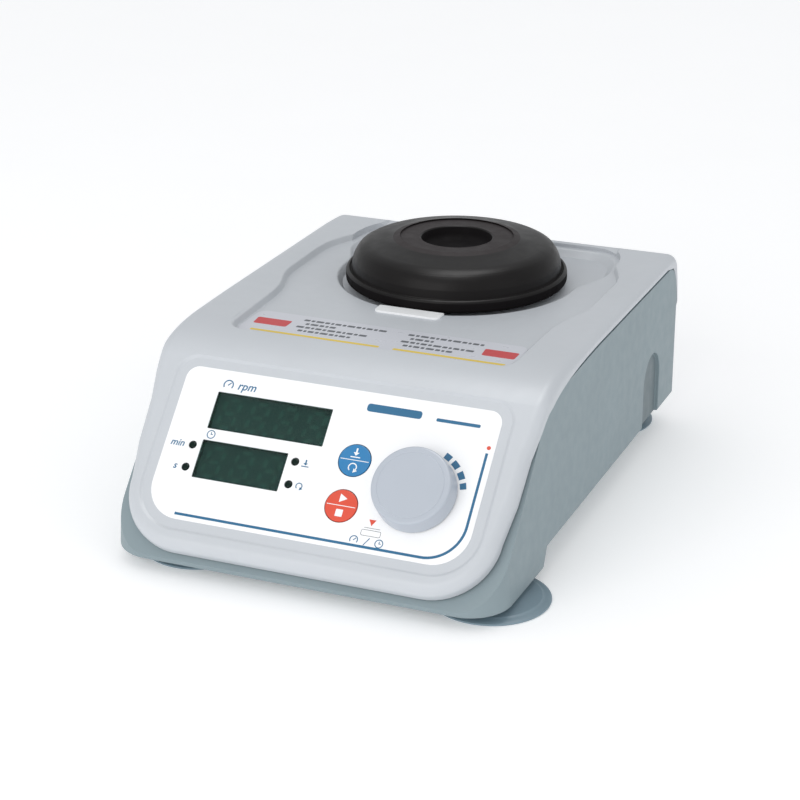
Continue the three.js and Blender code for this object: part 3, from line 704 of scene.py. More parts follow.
def well_tool():
    """Cuts the recess: its walls slope, its edges are soft and its floor rises at the back."""
    slope = bpy.context.scene.mixer_sizes.well_slope / MM
    levels = [(-slope - 0.6, 0), (-slope, 0.12), (-slope + 0.35, 0.45), (-0.55, WELL_DEPTH - 0.5),
              (-0.2, WELL_DEPTH - 0.17), (0.25, WELL_DEPTH), (1.2, WELL_DEPTH + 0.12), (1.6, 5)]
    bm = stack(well_outline, levels)
    for y in range(RAMP_Y, 120, 4):
        bmesh.ops.bisect_plane(
            bm, geom=bm.verts[:] + bm.edges[:] + bm.faces[:], dist=1e-4,
            plane_co=(0, y, 0), plane_no=(0, 1, 0))
    for v in bm.verts:
        rise = min(1.0, max(0.0, (v.co.y - RAMP_Y) / (BACK_Y - RAMP_Y)))
        height = v.co.z
        depth = WELL_DEPTH - height
        if depth > 0:
            depth *= 1 - rise ** 1.5
        v.co.z = DECK_Z - depth
    # In front the deck falls away, so the soft edge follows it down.
    for v in bm.verts:
        if v.co.z > DECK_Z - 0.6 and v.co.y < KNEE_END_Y:
            v.co.z -= 0.011 * (KNEE_END_Y - v.co.y) ** 1.5
    return bm


def pocket_outline(grow):
    """The pocket round the platform: a half circle whose sides flare to the back."""
    scale = 1 + grow / POCKET_RADIUS
    front = arc((0, 0), POCKET_RADIUS, 180, 360, 40)
    side = interpolate_bezier(
        Vector((POCKET_RADIUS, 0, 0)), Vector((POCKET_RADIUS, 9, 0)),
        Vector((63, 16, 0)), Vector((63, 28, 0)), 10)
    back = quadratic((63, 28), (63, 56), (46, 56), 8)
    right = [(p.x, p.y) for p in side[1:]] + [(p.x, p.y) for p in back[1:]]
    points = front + right + [(-x, y) for x, y in reversed(right)]
    return [(x * scale, y * scale + MOTOR.y) for x, y in points]


def pocket_tool():
    floor = DECK_Z - WELL_DEPTH
    low = DECK_Z - POCKET_DEPTH
    return stack(pocket_outline, [
        (-3.4, low), (-2.6, low + 0.2), (-0.7, floor - 0.5), (-0.25, floor - 0.15),
        (0.4, floor), (1.6, floor + 0.15), (1.8, DECK_Z + 5)])


def hole_levels(low, high, surface, flare):
    """Levels of a straight cutter whose mouth flares at a surface."""
    return [(0, low), (0, surface - flare), (flare * 0.3, surface - flare * 0.3), (flare, surface),
            (flare * 1.4, high)]


def panel_tools(low, high, surface, flare):
    """Cutters for everything that passes through the front panel."""
    tools = []
    levels = hole_levels(low, high, surface, flare)
    window_levels = [(grow + 0.12, height) for grow, height in levels]
    for window in ("speed_window", "time_window"):
        a, b = panel_box(window)
        tools.append(on_panel(stack(grown_rect(a.xy, b.xy, [0.3] * 4, 3), window_levels)))
    for node, spare in (("mode_button", 0.3), ("start_button", 0.3), ("led_minutes", 0.25),
                        ("led_seconds", 0.25), ("led_touch", 0.25), ("led_continuous", 0.25)):
        centre, radius = face_circle(node)
        tools.append(on_panel(stack(grown_circle(radius + spare, centre), levels)))
    tools.append(on_panel(stack(grown_circle(7.4, KNOB.xy), levels)))
    return tools


def face_circle(node):
    """The centre of a round control and the radius of its visible face."""
    a, b = panel_box(node)
    return ((a + b) / 2).xy, LED_RADIUS if node.startswith("led") else BUTTON_RADIUS


def rear_tools():
    tools = []
    for node, spare in (("power_inlet", -1.4), ("switch_housing", -1.3)):
        a, b = node_box(node)
        tools.append(box((a.x - spare, BACK_Y - 20, a.z - spare), (b.x + spare, BACK_Y + 5, b.z + spare)))
    return tools


def make_cover():
    """The cover: the bent sheet, backed under its recess, and cut for all that it carries."""
    bm = cover_blank()
    backing = box((-79, -44, DECK_Z - 6.5), (79, BACK_Y - 9, DECK_Z - 2.2))
    well_backing = stack(pocket_outline, [(3.5, DECK_Z - POCKET_DEPTH - 3), (3.5, DECK_Z - 2.4)])
    bm = boolean(bm, [backing, well_backing], "UNION")
    seat = on_panel(stack(
        grown_rect((-74, -37.6), (74, 37.6), (19, 9, 9, 19), 10),
        [(-0.7, -0.2), (-0.35, -0.14), (0.25, 0.3), (0.6, 0.52), (1.0, SKIN), (1.6, SKIN + 0.15),
         (1.8, 4)]))
    behind = on_panel(stack(grown_rect((-77, -43), (77, 34), (20, 4, 4, 20), 6), [(0, -14), (0, -2.2)]))
    shaft = lathe([(0, 60), (SHAFT_HOLE, 60), (SHAFT_HOLE, 90), (0, 90)], MOTOR.xy, 48)
    tools = [well_tool(), pocket_tool(), shaft, seat, behind]
    tools += panel_tools(-20, 4, -0.2, 0.05)
    tools += rear_tools()
    bm = boolean(bm, tools)
    make_piece("casing_cover", bm, MATERIALS["cover"], "root", ["top_cover"], sharp=38)


def make_base():
    """The base: a hollow wedge whose top follows the seam, on a plinth in front."""
    width = HALF_WIDTH
    wall = BASE_WALL
    corners = (BASE_CORNER, 3, 3, BASE_CORNER)
    plan = stack(grown_rect((-width, FRONT_Y), (width, BACK_Y), corners, 14), [(0, -5), (0, 100)])
    side = [(p.x, p.y) for p in seam_path(SEAM_GAP)]
    side += [(BACK_Y, FLOOR_Z), (PLINTH_BACK_Y + 4, FLOOR_Z), (PLINTH_BACK_Y, PLINTH_Z),
             (FRONT_Y - 8, PLINTH_Z)]
    profile = plate(list(reversed(side)), -width - 5, width + 5)
    bm = boolean(plan, [moved(profile, on_side())], "INTERSECT")
    ease_base(bm)
    cavity = stack(
        grown_rect((-75, FRONT_Y + 7), (75, BACK_Y - 2 * wall), (20, 2, 2, 20), 8),
        [(0, FLOOR_Z + wall), (0, DECK_Z + 20)])
    plinth = stack(
        grown_rect((-width + wall, FRONT_Y + 10), (width - wall, PLINTH_BACK_Y + 10), (14, 1, 1, 14), 8),
        [(0, -10), (0, FLOOR_Z)])
    flange = box((-83.3, BACK_Y - wall, FLANGE_LOW_Z - GAP), (83.3, BACK_Y + 5, DECK_Z))
    tools = [cavity, plinth, flange] + rear_tools() + [slot_tool(1), slot_tool(-1)]
    bm = boolean(bm, tools)
    narrow_front(bm)
    piece = make_piece("casing_base", bm, MATERIALS["base"], "root", ["base_shell"], sharp=38)
    # The slot floors take a darkened copy of the base colour, painted shade in the recess.
    piece.data.materials.append(MATERIALS["slot"])
    slot_floor = (HALF_WIDTH - SLOT_DEPTH) * MM
    for face in piece.data.polygons:
        if abs(abs(face.center.x) - slot_floor) < 0.05 * MM and abs(face.normal.x) > 0.9:
            face.material_index = 1


def narrow_front(bm):
    """Draws the side walls in a little towards the panel, where the cover is narrower."""
    to_panel = PANEL.inverted()
    for v in bm.verts:
        depth = -(to_panel @ v.co).z
        share = min(1.0, max(0.0, 1 - depth / FRONT_TAPER))
        v.co.x *= 1 - FRONT_DRAW * share ** 1.5


def ease_base(bm):
    """Rounds the seam's edge more, and the base's other outer edges a little."""
    seam = seam_path(SEAM_GAP)

    def seam_height(y):
        for a, b in zip(seam, seam[1:]):
            if a.x <= y <= b.x:
                return a.y + (b.y - a.y) * (y - a.x) / (b.x - a.x)
        return seam[0].y if y < seam[0].x else seam[-1].y

    def on_seam(v):
        return abs(v.co.z - seam_height(v.co.y)) < 0.6 and v.co.y < BACK_Y - 1.5

    edges = [e for e in bm.edges if len(e.link_faces) == 2 and e.calc_face_angle(0) > math.radians(38)]
    upper = [e for e in edges if all(on_seam(v) for v in e.verts)]
    lower = [e for e in edges if all(v.co.z < FLOOR_Z + 0.1 for v in e.verts)]
    radius = bpy.context.scene.mixer_sizes.base_edge / MM
    bmesh.ops.bevel(
        bm, geom=upper, offset=radius, offset_type="OFFSET", segments=5, profile=0.5,
        affect="EDGES", clamp_overlap=True, material=-1)
    lower = [e for e in lower if e.is_valid]
    bmesh.ops.bevel(
        bm, geom=lower, offset=1.0, offset_type="OFFSET", segments=3, profile=0.5,
        affect="EDGES", clamp_overlap=True, material=-1)


def slot_tool(side):
    """Cuts the round-topped slot low in a side wall."""

    def outline(grow):
        r = SLOT_RADIUS + grow
        return [(SLOT_Y + r, 0), *arc((SLOT_Y, 33), r, 0, 180, 20), (SLOT_Y - r, 0)]

    floor = HALF_WIDTH - SLOT_DEPTH
    levels = [(-0.5, floor), (-0.12, floor + 0.12), (0, floor + 0.4), (0, HALF_WIDTH - 0.45),
              (0.13, HALF_WIDTH - 0.13), (0.45, HALF_WIDTH), (0.9, HALF_WIDTH + 3)]
    bm = stack(outline, levels)
    moved(bm, on_side(side))
    bmesh.ops.recalc_face_normals(bm, faces=bm.faces)
    return bm


# ---------------------------------------------------------------- feet

def make_feet():
    """Four suction cups, each with a leaning disc under its neck."""
    for end in ("front", "rear"):
        for side in ("left", "right"):
            node = f"foot_{end}_{side}"
            low, high = node_box(node)
            disc_x = (low.x + high.x) / 2
            disc_y = (low.y + high.y) / 2
            radius = (high.x - low.x) / 2
            neck_x = math.copysign(63.3, disc_x)
            profile = smooth_profile(
                [(0, 1.5), (12, 1.2), (19.5, 0.7), (23, 0), (24, 0), (radius, 0.45), (radius, 0.95),
                 (23.2, 1.35), (21.4, 1.75), (20.6, 2.15), (13, 3.3), (8.6, 4.2), (7.4, 5.6), (0, 5.6)],
                [1, 1, 0.6, 0.2, 0.2, 0.2, 0.3, 0.5, 0.3, 1, 1, 0.6])
            bm = lathe(profile, (disc_x, disc_y), 96)
            neck = smooth_profile(
                [(0, 3.5), (6.6, 3.5), (5.5, 6), (5.5, high.z - 1), (6.2, high.z), (0, high.z)],
                [0.3, 1, 0.4, 0.1])
            lathe(neck, (neck_x, disc_y), 48, bm)
            make_piece(f"suction_cup_{end}_{side}", bm, MATERIALS["cup"], "root", [node])


# ---------------------------------------------------------------- deck

def make_deck_parts():
    """The strip and the tab on the recess floor."""
    low, high = node_box("deck_strip")
    strip = soft_plate(grown_rect(low.xy, high.xy, (4, 4, 4, 4)), low.z - 0.25, high.z - 0.45, 0.1)
    make_piece("deck_strip_sheet", strip, MATERIALS["strip"], "root", ["deck_strip"])
    face = high.z - 0.45
    marks = bmesh.new()
    for left, right in ((-55.5, 3.5), (9.8, 59)):
        plate(rounded_rect((left, -45.6), (right, -43.8), [0.5] * 4, 3), face, face + PRINT, marks)
    make_piece("strip_lines", marks, MATERIALS["yellow"], "root")
    tabs = bmesh.new()
    for left, right in ((-58.6, -42.6), (45.2, 60.2)):
        shape = [(left + 0.8, -37.4), (right, -37.4), (right, -30), (left, -30)]
        plate(round_corners(shape, [1.0] * 4, 4), face, face + PRINT, tabs)
    make_piece("strip_tabs", tabs, MATERIALS["signal"], "root")
    rows = bmesh.new()
    for left, right in ((-38.5, -2.5), (9.5, 43)):
        for i, share in enumerate((1.0, 0.35, 0.94, 0.7)):
            y = -26.5 - i * 4.2
            start = left + (2.5 if i % 2 else 0)
            end = start + (right - left) * share
            dash = 0
            while start < end - 1:
                width = (2.6, 1.5, 3.4, 2.0, 1.2)[(dash + i) % 5]
                plate(rounded_rect((start, y - 0.95), (start + width, y + 0.95), [0.3] * 4, 2),
                      face, face + PRINT, rows)
                start += width + 0.75
                dash += 1
    make_piece("strip_rows", rows, MATERIALS["ink"], "root")
    low, high = node_box("deck_tab")
    tab = soft_plate(grown_rect(low.xy, high.xy, (2.5, 0.5, 0.5, 2.5)), low.z - 0.3, high.z, 0.15)
    make_piece("deck_tab_sheet", tab, MATERIALS["white"], "root", ["deck_tab"])


# ---------------------------------------------------------------- platform

def make_platform():
    """The rubber platform: upright skirt, fine lip, domed wall, flat ring and dimple."""
    radius = PLATFORM_RADIUS
    low = PLATFORM_LOW.z
    high = PLATFORM_HIGH.z
    points = [
        (0, low + 5.5), (40, low + 5.5), (45.5, low + 1.4), (47, low), (49.2, low), (radius, low + 0.9),
        (radius, low + 4.3), (49.7, low + 5.1), (49.1, low + 5.6), (48.5, low + 5.65), (48.1, low + 5.2),
        (47.7, low + 4.9), (47.35, low + 5.6), (46.9, low + 9.3), (45.5, low + 13.4),
        (41.8, low + 16.7), (29.4, high - 0.45), (28, high - 0.05),
        (17.6, high - 0.05), (17.2, high), (16.5, high), (15.9, high - 0.5), (14.9, high - 4.6),
        (12.4, high - 5.9), (2.2, high - 6.6), (1.4, high - 6.1), (0, high - 5.95)]
    radii = [1, 1, 0.5, 0.5, 0.6, 0.6, 0.3, 0.2, 0.15, 0.15, 0.15, 0.25, 0.3, 3.0, 3.0, 4.0, 0.6,
             0.15, 0.15, 0.2, 0.4, 1.5, 1.2, 0.4, 0.4]
    bm = lathe(smooth_profile(points, radii), (HEAD.x, HEAD.y), 128)
    piece = make_piece("rubber_platform", bm, MATERIALS["rubber"], "head", ["platform"], sharp=60)
    piece.data.materials.append(MATERIALS["ring"])
    piece.data.materials.append(MATERIALS["skirt"])
    for face in piece.data.polygons:
        centre = (Vector(face.center) / MM - HEAD).to_2d().length
        if face.normal.z > 0.9 and face.center.z / MM > high - 1 and 16.3 < centre < 29:
            face.material_index = 1
        elif centre < 16 or face.center.z / MM < low + 4.4:
            face.material_index = 2


# ---------------------------------------------------------------- front panel

def make_label():
    """The white sheet on the panel, with a hole for each thing that shows through it."""
    outline = grown_rect((-69.55, -33.25), (69.55, 33.25), (15, 5.5, 5.5, 15), 12)
    sheet = soft_plate(outline, -0.19, 0, 0.08)
    bm = boolean(on_panel(sheet), panel_tools(-5, 3, 0, 0.1))
    make_piece("label_sheet", bm, MATERIALS["label"], "root", ["front_label"])


def segment(width, height, bar, name):
    """The corners of one of a digit's seven bars, about the digit's middle."""
    half, mid = width / 2, height / 4
    level = {"top": height / 2, "middle": 0, "low": -height / 2}
    if name in level:
        y = level[name]
        return [(-half + bar * 0.7, y), (-half + bar * 1.2, y - bar / 2), (half - bar * 1.2, y - bar / 2),
                (half - bar * 0.7, y), (half - bar * 1.2, y + bar / 2), (-half + bar * 1.2, y + bar / 2)]
    x = half if "right" in name else -half
    y = mid if "upper" in name else -mid
    reach = mid - bar * 0.7
    return [(x, y - reach), (x + bar / 2, y - reach + bar / 2), (x + bar / 2, y + reach - bar / 2),
            (x, y + reach), (x - bar / 2, y + reach - bar / 2), (x - bar / 2, y - reach + bar / 2)]


SEGMENTS = ("top", "middle", "low", "upper right", "lower right", "upper left", "lower left")


def make_displays():
    """Smoked windows over unlit seven-bar digits."""
    lean = math.tan(math.radians(8))
    for window, digits in (("speed", 4), ("time", 3)):
        a, b = panel_box(f"{window}_window")
        lens = soft_plate(grown_rect(a.xy, b.xy, [0.3] * 4, 3), a.z, b.z, 0.1)
        make_piece(
            f"{window}_lens", on_panel(lens), MATERIALS["lens"], "root", [f"{window}_window"])
        low, high = panel_box(f"{window}_display")
        face = rounded_rect((a.x + 0.2, a.y + 0.2), (b.x - 0.2, b.y - 0.2), [0.3] * 4, 3)
        field = on_panel(plate(face, a.z - 0.35, a.z - 0.22))
        make_piece(f"{window}_field", field, MATERIALS["digit_field"], "root")
        bars = bmesh.new()
        for i in range(digits):
            u = (a.x + b.x) / 2 + (i - (digits - 1) / 2) * DIGIT_PITCH
            v = (low.y + high.y) / 2
            for name in SEGMENTS:
                shape = [(u + x + y * lean, v + y) for x, y in segment(6.6, 12.2, 1.5, name)]
                plate(shape, a.z - 0.22, a.z - 0.14, bars)
            plate(circle(0.75, (u + 5.2, v - 6.1), 16), a.z - 0.22, a.z - 0.14, bars)
        make_piece(f"{window}_digits", on_panel(bars), MATERIALS["digit"], "root")


def make_lamps():
    """The four round-topped indicator lamps."""
    for name in ("minutes", "seconds", "touch", "continuous"):
        centre, radius = face_circle(f"led_{name}")
        low = panel_box(f"led_{name}")[0]
        dome = [(radius * math.cos(a), -0.15 + 0.42 * math.sin(a))
                for a in (math.pi / 2 * i / 6 for i in range(6))]
        profile = [(0, low.z), (1.9, low.z), (1.9, -4), (radius, -4)] + dome + [(0, 0.27)]
        bm = on_panel(lathe(profile, centre, 32))
        make_piece(f"lamp_{name}", bm, MATERIALS["led"], "root", [f"led_{name}"])


def make_keys():
    """The two keys: a printed disc with a divider and a sign in each half."""
    for name, body, slot, colour in (("mode", "mode_key", "blue_button", "blue"),
                                     ("start", "start_key", "red_button", "red")):
        centre, radius = face_circle(f"{name}_button")
        low, high = panel_box(f"{name}_button")
        profile = smooth_profile(
            [(0, low.z), (2.5, low.z), (2.5, -4.2), (8, -4.2), (8, -3.1), (radius, -3.1),
             (radius, high.z - 0.05), (0, high.z)], [0, 0, 0, 0, 0, 0.3])
        bm = on_panel(lathe(profile, centre, 64))
        make_piece(f"{name}_key_cap", bm, MATERIALS[colour], body, [f"{name}_button"])
        signs = bmesh.new()
        face = high.z - 0.04
        divider = rounded_rect(
            (centre.x - 6.1, centre.y - 0.14), (centre.x + 6.1, centre.y + 0.14), [0.12] * 4, 2)
        shapes = mode_signs(centre) if name == "mode" else start_signs(centre)
        for shape in (divider, *shapes):
            plate(shape, face, face + 0.09, signs)
        make_piece(f"{name}_key_signs", on_panel(signs), MATERIALS["white"], body)


def mode_signs(centre):
    """An arrow that presses on a bar, over a looped arrow."""
    x, y = centre
    arrow = [(x - 0.35, y + 5.1), (x - 0.35, y + 3.3), (x - 1.3, y + 3.3), (x, y + 1.9), (x + 1.3, y + 3.3),
             (x + 0.35, y + 3.3), (x + 0.35, y + 5.1)]
    bar = rounded_rect((x - 2.1, y + 1.05), (x + 2.1, y + 1.5), [0.2] * 4, 2)
    loop_centre = (x, y - 3.1)
    loop = arc(loop_centre, 1.9, -50, 230, 24) + arc(loop_centre, 1.45, 230, -50, 24)
    tip = [(x + 0.6, y - 5.3), (x + 2.3, y - 4.4), (x + 0.7, y - 3.5)]
    return [list(reversed(arrow)), bar, loop, tip]


def start_signs(centre):
    """A forward triangle over a square."""
    x, y = centre
    forward = [(x - 1.3, y + 1.3), (x + 1.9, y + 3.1), (x - 1.3, y + 4.9)]
    square = rounded_rect((x - 1.5, y - 4.6), (x + 1.5, y - 1.6), [0.2] * 4, 2)
    return [forward, square]


def make_knob():
    """The turning knob: a plain drum with an eased face and a fine ring."""
    top = panel_box("speed_knob")[1].z
    profile = smooth_profile(
        [(0, 7.6), (3.2, 7.6), (3.2, 3.4), (13.5, 3.4), (13.5, 0.7), (16.8, 0.7), (16.75, 2.0),
         (16.3, top - 0.5), (15.7, top), (13.9, top), (13.75, top - 0.12), (13.6, top - 0.12),
         (13.45, top), (0, top)],
        [0, 0.3, 0.3, 0.3, 0.25, 0.4, 0.35, 0.4, 0.05, 0.03, 0.03, 0.05])
    bm = on_panel(lathe(profile, KNOB.xy, 128))
    make_piece("control_knob", bm, MATERIALS["knob"], "knob", ["speed_knob"], sharp=50)


def line_path(points, width):
    """The outline of a stripe along a path, with square ends."""
    points = [Vector(p) for p in points]
    left, right = [], []
    for i, here in enumerate(points):
        before = points[max(i - 1, 0)]
        after = points[min(i + 1, len(points) - 1)]
        along = (after - before).normalized()
        side = Vector((-along.y, along.x)) * width / 2
        left.append(here + side)
        right.append(here - side)
    return right + list(reversed(left))


def gauge(centre, size):
    """A dial sign: an open ring with a needle."""
    x, y = centre
    ring = arc(centre, size, -35, 215, 24) + arc(centre, size * 0.78, 215, -35, 24)
    needle = line_path([(x - size * 0.1, y - size * 0.1), (x + size * 0.45, y + size * 0.45)], size * 0.2)
    return [ring, needle]


def clock(centre, size):
    """A clock sign: a ring in two halves with two hands."""
    x, y = centre
    halves = [arc(centre, size, a, a + 180, 16) + arc(centre, size * 0.8, a + 180, a, 16) for a in (0, 180)]
    hands = [line_path([(x, y - size * 0.08), (x, y + size * 0.55)], size * 0.16),
             line_path([(x, y), (x + size * 0.42, y)], size * 0.16)]
    return halves + hands


def text_mesh(text, size, place, bm):
    """Adds a word as a thin plate on the panel, with its lower left corner at place."""
    curve = bpy.data.curves.new("word", "FONT")
    curve.body = text
    curve.size = size
    curve.extrude = PRINT / 2
    curve.shear = 0.2
    curve.offset = size * 0.012
    curve.resolution_u = 3
    word = bpy.data.objects.new("word", curve)
    bpy.context.scene.collection.objects.link(word)
    graph = bpy.context.evaluated_depsgraph_get()
    mesh = bpy.data.meshes.new_from_object(word.evaluated_get(graph))
    mesh.transform(Matrix.Translation((*place, PRINT / 2)))
    bm.from_mesh(mesh)
    bpy.data.objects.remove(word)
    bpy.data.curves.remove(curve)
    bpy.data.meshes.remove(mesh)


def make_panel_print():
    """The printed marks on the label."""
    blue = bmesh.new()
    corner = arc((51.5, -15.7), 15.2, -90, 0, 16)
    border = line_path([(-55.4, -30.9), (0, -30.9)] + corner + [(66.7, 0), (66.7, 15.3)], 1.1)
    shapes = [border]
    for start, end in ((14, 22), (27, 37), (43, 53), (58, 67)):
        shapes.append(arc(KNOB.xy, 20.1, start, end, 5) + arc(KNOB.xy, 17.5, end, start, 5))
    shapes += gauge((-49.6, 26.9), 2.3) + clock((-50.4, 4.55), 1.9)
    shapes += gauge((22.8, -28.6), 1.8) + clock((33.5, -28.6), 1.8)
    shapes.append(line_path([(27.2, -30.2), (29.2, -27)], 0.35))
    x, y = -6.2, -1
    shapes.append([(x - 0.3, y + 1.5), (x - 0.3, y), (x - 1, y), (x, y - 0.9), (x + 1, y), (x + 0.3, y),
                   (x + 0.3, y + 1.5)][::-1])
    shapes.append(rounded_rect((x - 1.6, y - 1.6), (x + 1.6, y - 1.2), [0.1] * 4, 2))
    y = -10.9
    shapes.append(arc((x, y), 1.5, -50, 230, 20) + arc((x, y), 1.1, 230, -50, 20))
    shapes.append([(x + 0.4, y - 1.7), (x + 1.8, y - 1), (x + 0.5, y - 0.3)])
    shapes.append(rounded_rect((12.6, 25.0), (36.2, 28.4), [1.2] * 4, 5))
    shapes.append(rounded_rect((42.6, 25.2), (61.2, 26.6), [0.5] * 4, 4))
    for shape in shapes:
        plate(shape, 0, PRINT, blue)
    text_mesh("rpm", 5.0, (-45.4, 25.6), blue)
    text_mesh("min", 4.2, (-67.0, -2.3), blue)
    text_mesh("s", 4.2, (-62.6, -12.1), blue)
    make_piece("panel_print_blue", on_panel(blue), MATERIALS["print"], "root")
    red = bmesh.new()
    plate(circle(0.85, (66.9, 17.6), 24), 0, PRINT, red)
    plate([(28.4, -22), (29.9, -19.4), (26.9, -19.4)], 0, PRINT, red)
    make_piece("panel_print_red", on_panel(red), MATERIALS["red"], "root")
    grey = bmesh.new()
    frame_line = rounded_rect((24.9, -26.2), (33.1, -23.8), [0.6] * 4, 4)
    plate(line_path(frame_line + frame_line[:1], 0.18), 0, PRINT, grey)
    plate(line_path([(25.6, -22.9), (32.4, -22.9)], 0.18), 0, PRINT, grey)
    make_piece("panel_print_grey", on_panel(grey), MATERIALS["ink"], "root")


# ---------------------------------------------------------------- rear panel

def make_rear():
    """The mains inlet with its pins and fuse drawer, the power switch and a blank plate."""
    low, high = node_box("power_inlet")
    x, z = (low.x + high.x) / 2, (low.z + high.z) / 2
    face = high.y

    def socket(grow):
        shape = [(-12, -5), (12, -5), (12, 7), (7, 12), (-7, 12), (-12, 7)]
        return round_corners(offset_corners(shape, grow), [1.2] * 6, 4)

    flange = soft_plate(grown_rect((-15.5, -18), (15.5, 18), [2.5] * 4, 6), BACK_Y + 0.05, face, 0.5)
    housing = boolean(flange, [box((-13.9, -16, low.y), (13.9, 16, BACK_Y + 1))], "UNION")
    housing = boolean(housing, [
        stack(socket, [(0, 106), (0, face - 0.5), (0.5, face), (0.8, face + 2)]),
        stack(grown_rect((-10.3, -14.3), (10.3, -7.7), [0.4] * 4, 3), [(0, 111.7), (0, face + 3)])])
    moved(housing, on_back(x, z))
    bmesh.ops.recalc_face_normals(housing, faces=housing.faces)
    make_piece("inlet_housing", housing, MATERIALS["black"], "root", ["power_inlet"])
    pins = bmesh.new()
    for px, pz in ((-7, 1.5), (7, 1.5), (0, 5.5)):
        box((x + px - 1, 105.5, z + pz - 2), (x + px + 1, face - 3.4, z + pz + 2), 0.4, pins)
    make_piece("inlet_pins", pins, MATERIALS["steel"], "root")
    low, high = node_box("fuse_drawer")
    drawer = box(low, high, 0.35)
    box((x - 3.5, high.y - 0.3, low.z + 1.7), (x + 3.5, high.y + 0.35, low.z + 2.6), 0.15, drawer)
    make_piece("fuse_holder", drawer, MATERIALS["black"], "root", ["fuse_drawer"])
    low, high = node_box("switch_housing")
    sx, sz = (low.x + high.x) / 2, (low.z + high.z) / 2
    bezel = soft_plate(grown_rect((-8, -11), (8, 11), [1.5] * 4, 5), BACK_Y + 0.05, high.y, 0.45)
    bezel = boolean(bezel, [box((-6.5, -9.5, low.y), (6.5, 9.5, BACK_Y + 1))], "UNION")
    bezel = boolean(bezel, [stack(grown_rect((-5.5, -8), (5.5, 8), [0.4] * 4, 3),
                                  [(0, 109), (0, high.y - 0.3), (0.3, high.y), (0.5, high.y + 3)])])
    moved(bezel, on_back(sx, sz))
    bmesh.ops.recalc_face_normals(bezel, faces=bezel.faces)
    make_piece("switch_bezel", bezel, MATERIALS["black"], "root", ["switch_housing"])
    make_rocker(sx)
    blank = soft_plate(grown_rect((-2, 20), (58, 34), [1.5] * 4, 5), BACK_Y - 0.2, BACK_Y + 0.25, 0.1)
    moved(blank, on_back(30, 0))
    bmesh.ops.recalc_face_normals(blank, faces=blank.faces)
    make_piece("rating_plate", blank, MATERIALS["label"], "root")


def make_rocker(x):
    """A rocker with a hollowed face and its two plain on and off marks."""
    pivot = mm(joint("power_tilt")["pos_m"])
    radius = 7.6
    horn = math.degrees(math.atan2(6.4, 4.1))
    outline = [Vector(p) for p in arc((0, 0), radius, horn, 360 - horn, 28)]
    upper, lower = outline[0], outline[-1]
    outline += quadratic(lower, (3.1, 0), upper, 12)[1:-1]
    bm = plate([tuple(p) for p in outline], -5.1, 5.1)
    edges = [e for e in bm.edges if abs(e.verts[0].co.z - e.verts[1].co.z) < 0.01]
    bmesh.ops.bevel(
        bm, geom=edges, offset=0.3, offset_type="OFFSET", segments=2, profile=0.5,
        affect="EDGES", clamp_overlap=True, material=-1)
    tilt = Matrix.Rotation(math.radians(-9), 4, "X")
    place = Matrix.Translation((x, pivot.y, pivot.z)) @ tilt
    moved(bm, place @ on_side())
    bmesh.ops.recalc_face_normals(bm, faces=bm.faces)
    make_piece("rocker_key", bm, MATERIALS["black"], "rocker", ["power_rocker"])
    marks = bmesh.new()
    bar = rounded_rect((-0.25, -1.3), (0.25, 1.3), [0.2] * 4, 2)
    plate(bar, 0, 0.08, marks)
    moved(marks, Matrix.Translation((0, 3.2, 3.9)) @ Matrix.Rotation(math.radians(-90 + 19), 4, "X"))
    zero = bmesh.new()
    for a in (0, 180):
        plate(arc((0, 0), 1.2, a, a + 180, 12) + arc((0, 0), 0.8, a + 180, a, 12), 0, 0.08, zero)
    moved(zero, Matrix.Translation((0, 3.2, -3.9)) @ Matrix.Rotation(math.radians(-90 - 19), 4, "X"))
    join(marks, zero)
    moved(marks, place)
    bmesh.ops.recalc_face_normals(marks, faces=marks.faces)
    make_piece("rocker_marks", marks, MATERIALS["white"], "rocker")


# ---------------------------------------------------------------- inner pieces

INNER = {
    "rubber": ["deck_seal"],
    "black": ["speed_display", "time_display", "mode_switch_stem", "mode_switch_body", "start_switch_stem",
              "start_switch_body", "encoder_body", "touch_switch", "power_module", "filter_capacitor"],
    "red": ["touch_plunger"],
    "board": ["display_board", "control_board"],
    "steel": ["encoder_nut", "head_bearing", "eccentric_crank", "counterweight", "motor_shaft",
              "motor_rotor", "motor_case", "lower_bearing", "upper_bearing", "ballast_plate",
              "guide_post_left", "guide_post_right", "guide_post_rear"],
    "aluminium": ["encoder_shaft", "head_hub", "motor_plate", "switch_bracket", "driver_heatsink"],
    "copper": ["motor_stator"],
}


def make_springs():
    """The three springs, rebuilt from the frame's coil meshes."""
    for side in ("left", "right", "rear"):
        node = f"spring_{side}"
        bm = bmesh.new()
        bm.from_mesh(frame["nodes"][node].data)
        bmesh.ops.scale(bm, vec=(1 / MM, 1 / MM, 1 / MM), verts=bm.verts)
        bmesh.ops.remove_doubles(bm, verts=bm.verts, dist=0.001)
        piece = make_piece(f"coil_{side}", bm, MATERIALS["steel"], "root", [node])
        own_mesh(piece)


def finish_inner():
    """Gives the CAD pieces that stay inside their materials."""
    for material, nodes in INNER.items():
        for node in nodes:
            mesh = frame["nodes"][node].data
            mesh.materials.clear()
            mesh.materials.append(MATERIALS[material])


# ---------------------------------------------------------------- stage

CAMERA = {"place": (0.33211, -0.81690, 0.39261), "azimuth": 22.45, "elevation": 21.81, "lens": 97.41}


def add_light(name, place, target, size, power, colour=(1, 1, 1), diffuse=True):
    """A soft rectangular light that faces its target."""
    data = bpy.data.lights.new(name, "AREA")
    data.shape = "RECTANGLE"
    data.size, data.size_y = size
    data.energy = power
    data.color = colour
    light = bpy.data.objects.new(name, data)
    light.location = place
    light.rotation_euler = (Vector(target) - Vector(place)).to_track_quat("-Z", "Y").to_euler()
    light.visible_diffuse = diffuse
    bpy.context.scene.collection.objects.link(light)


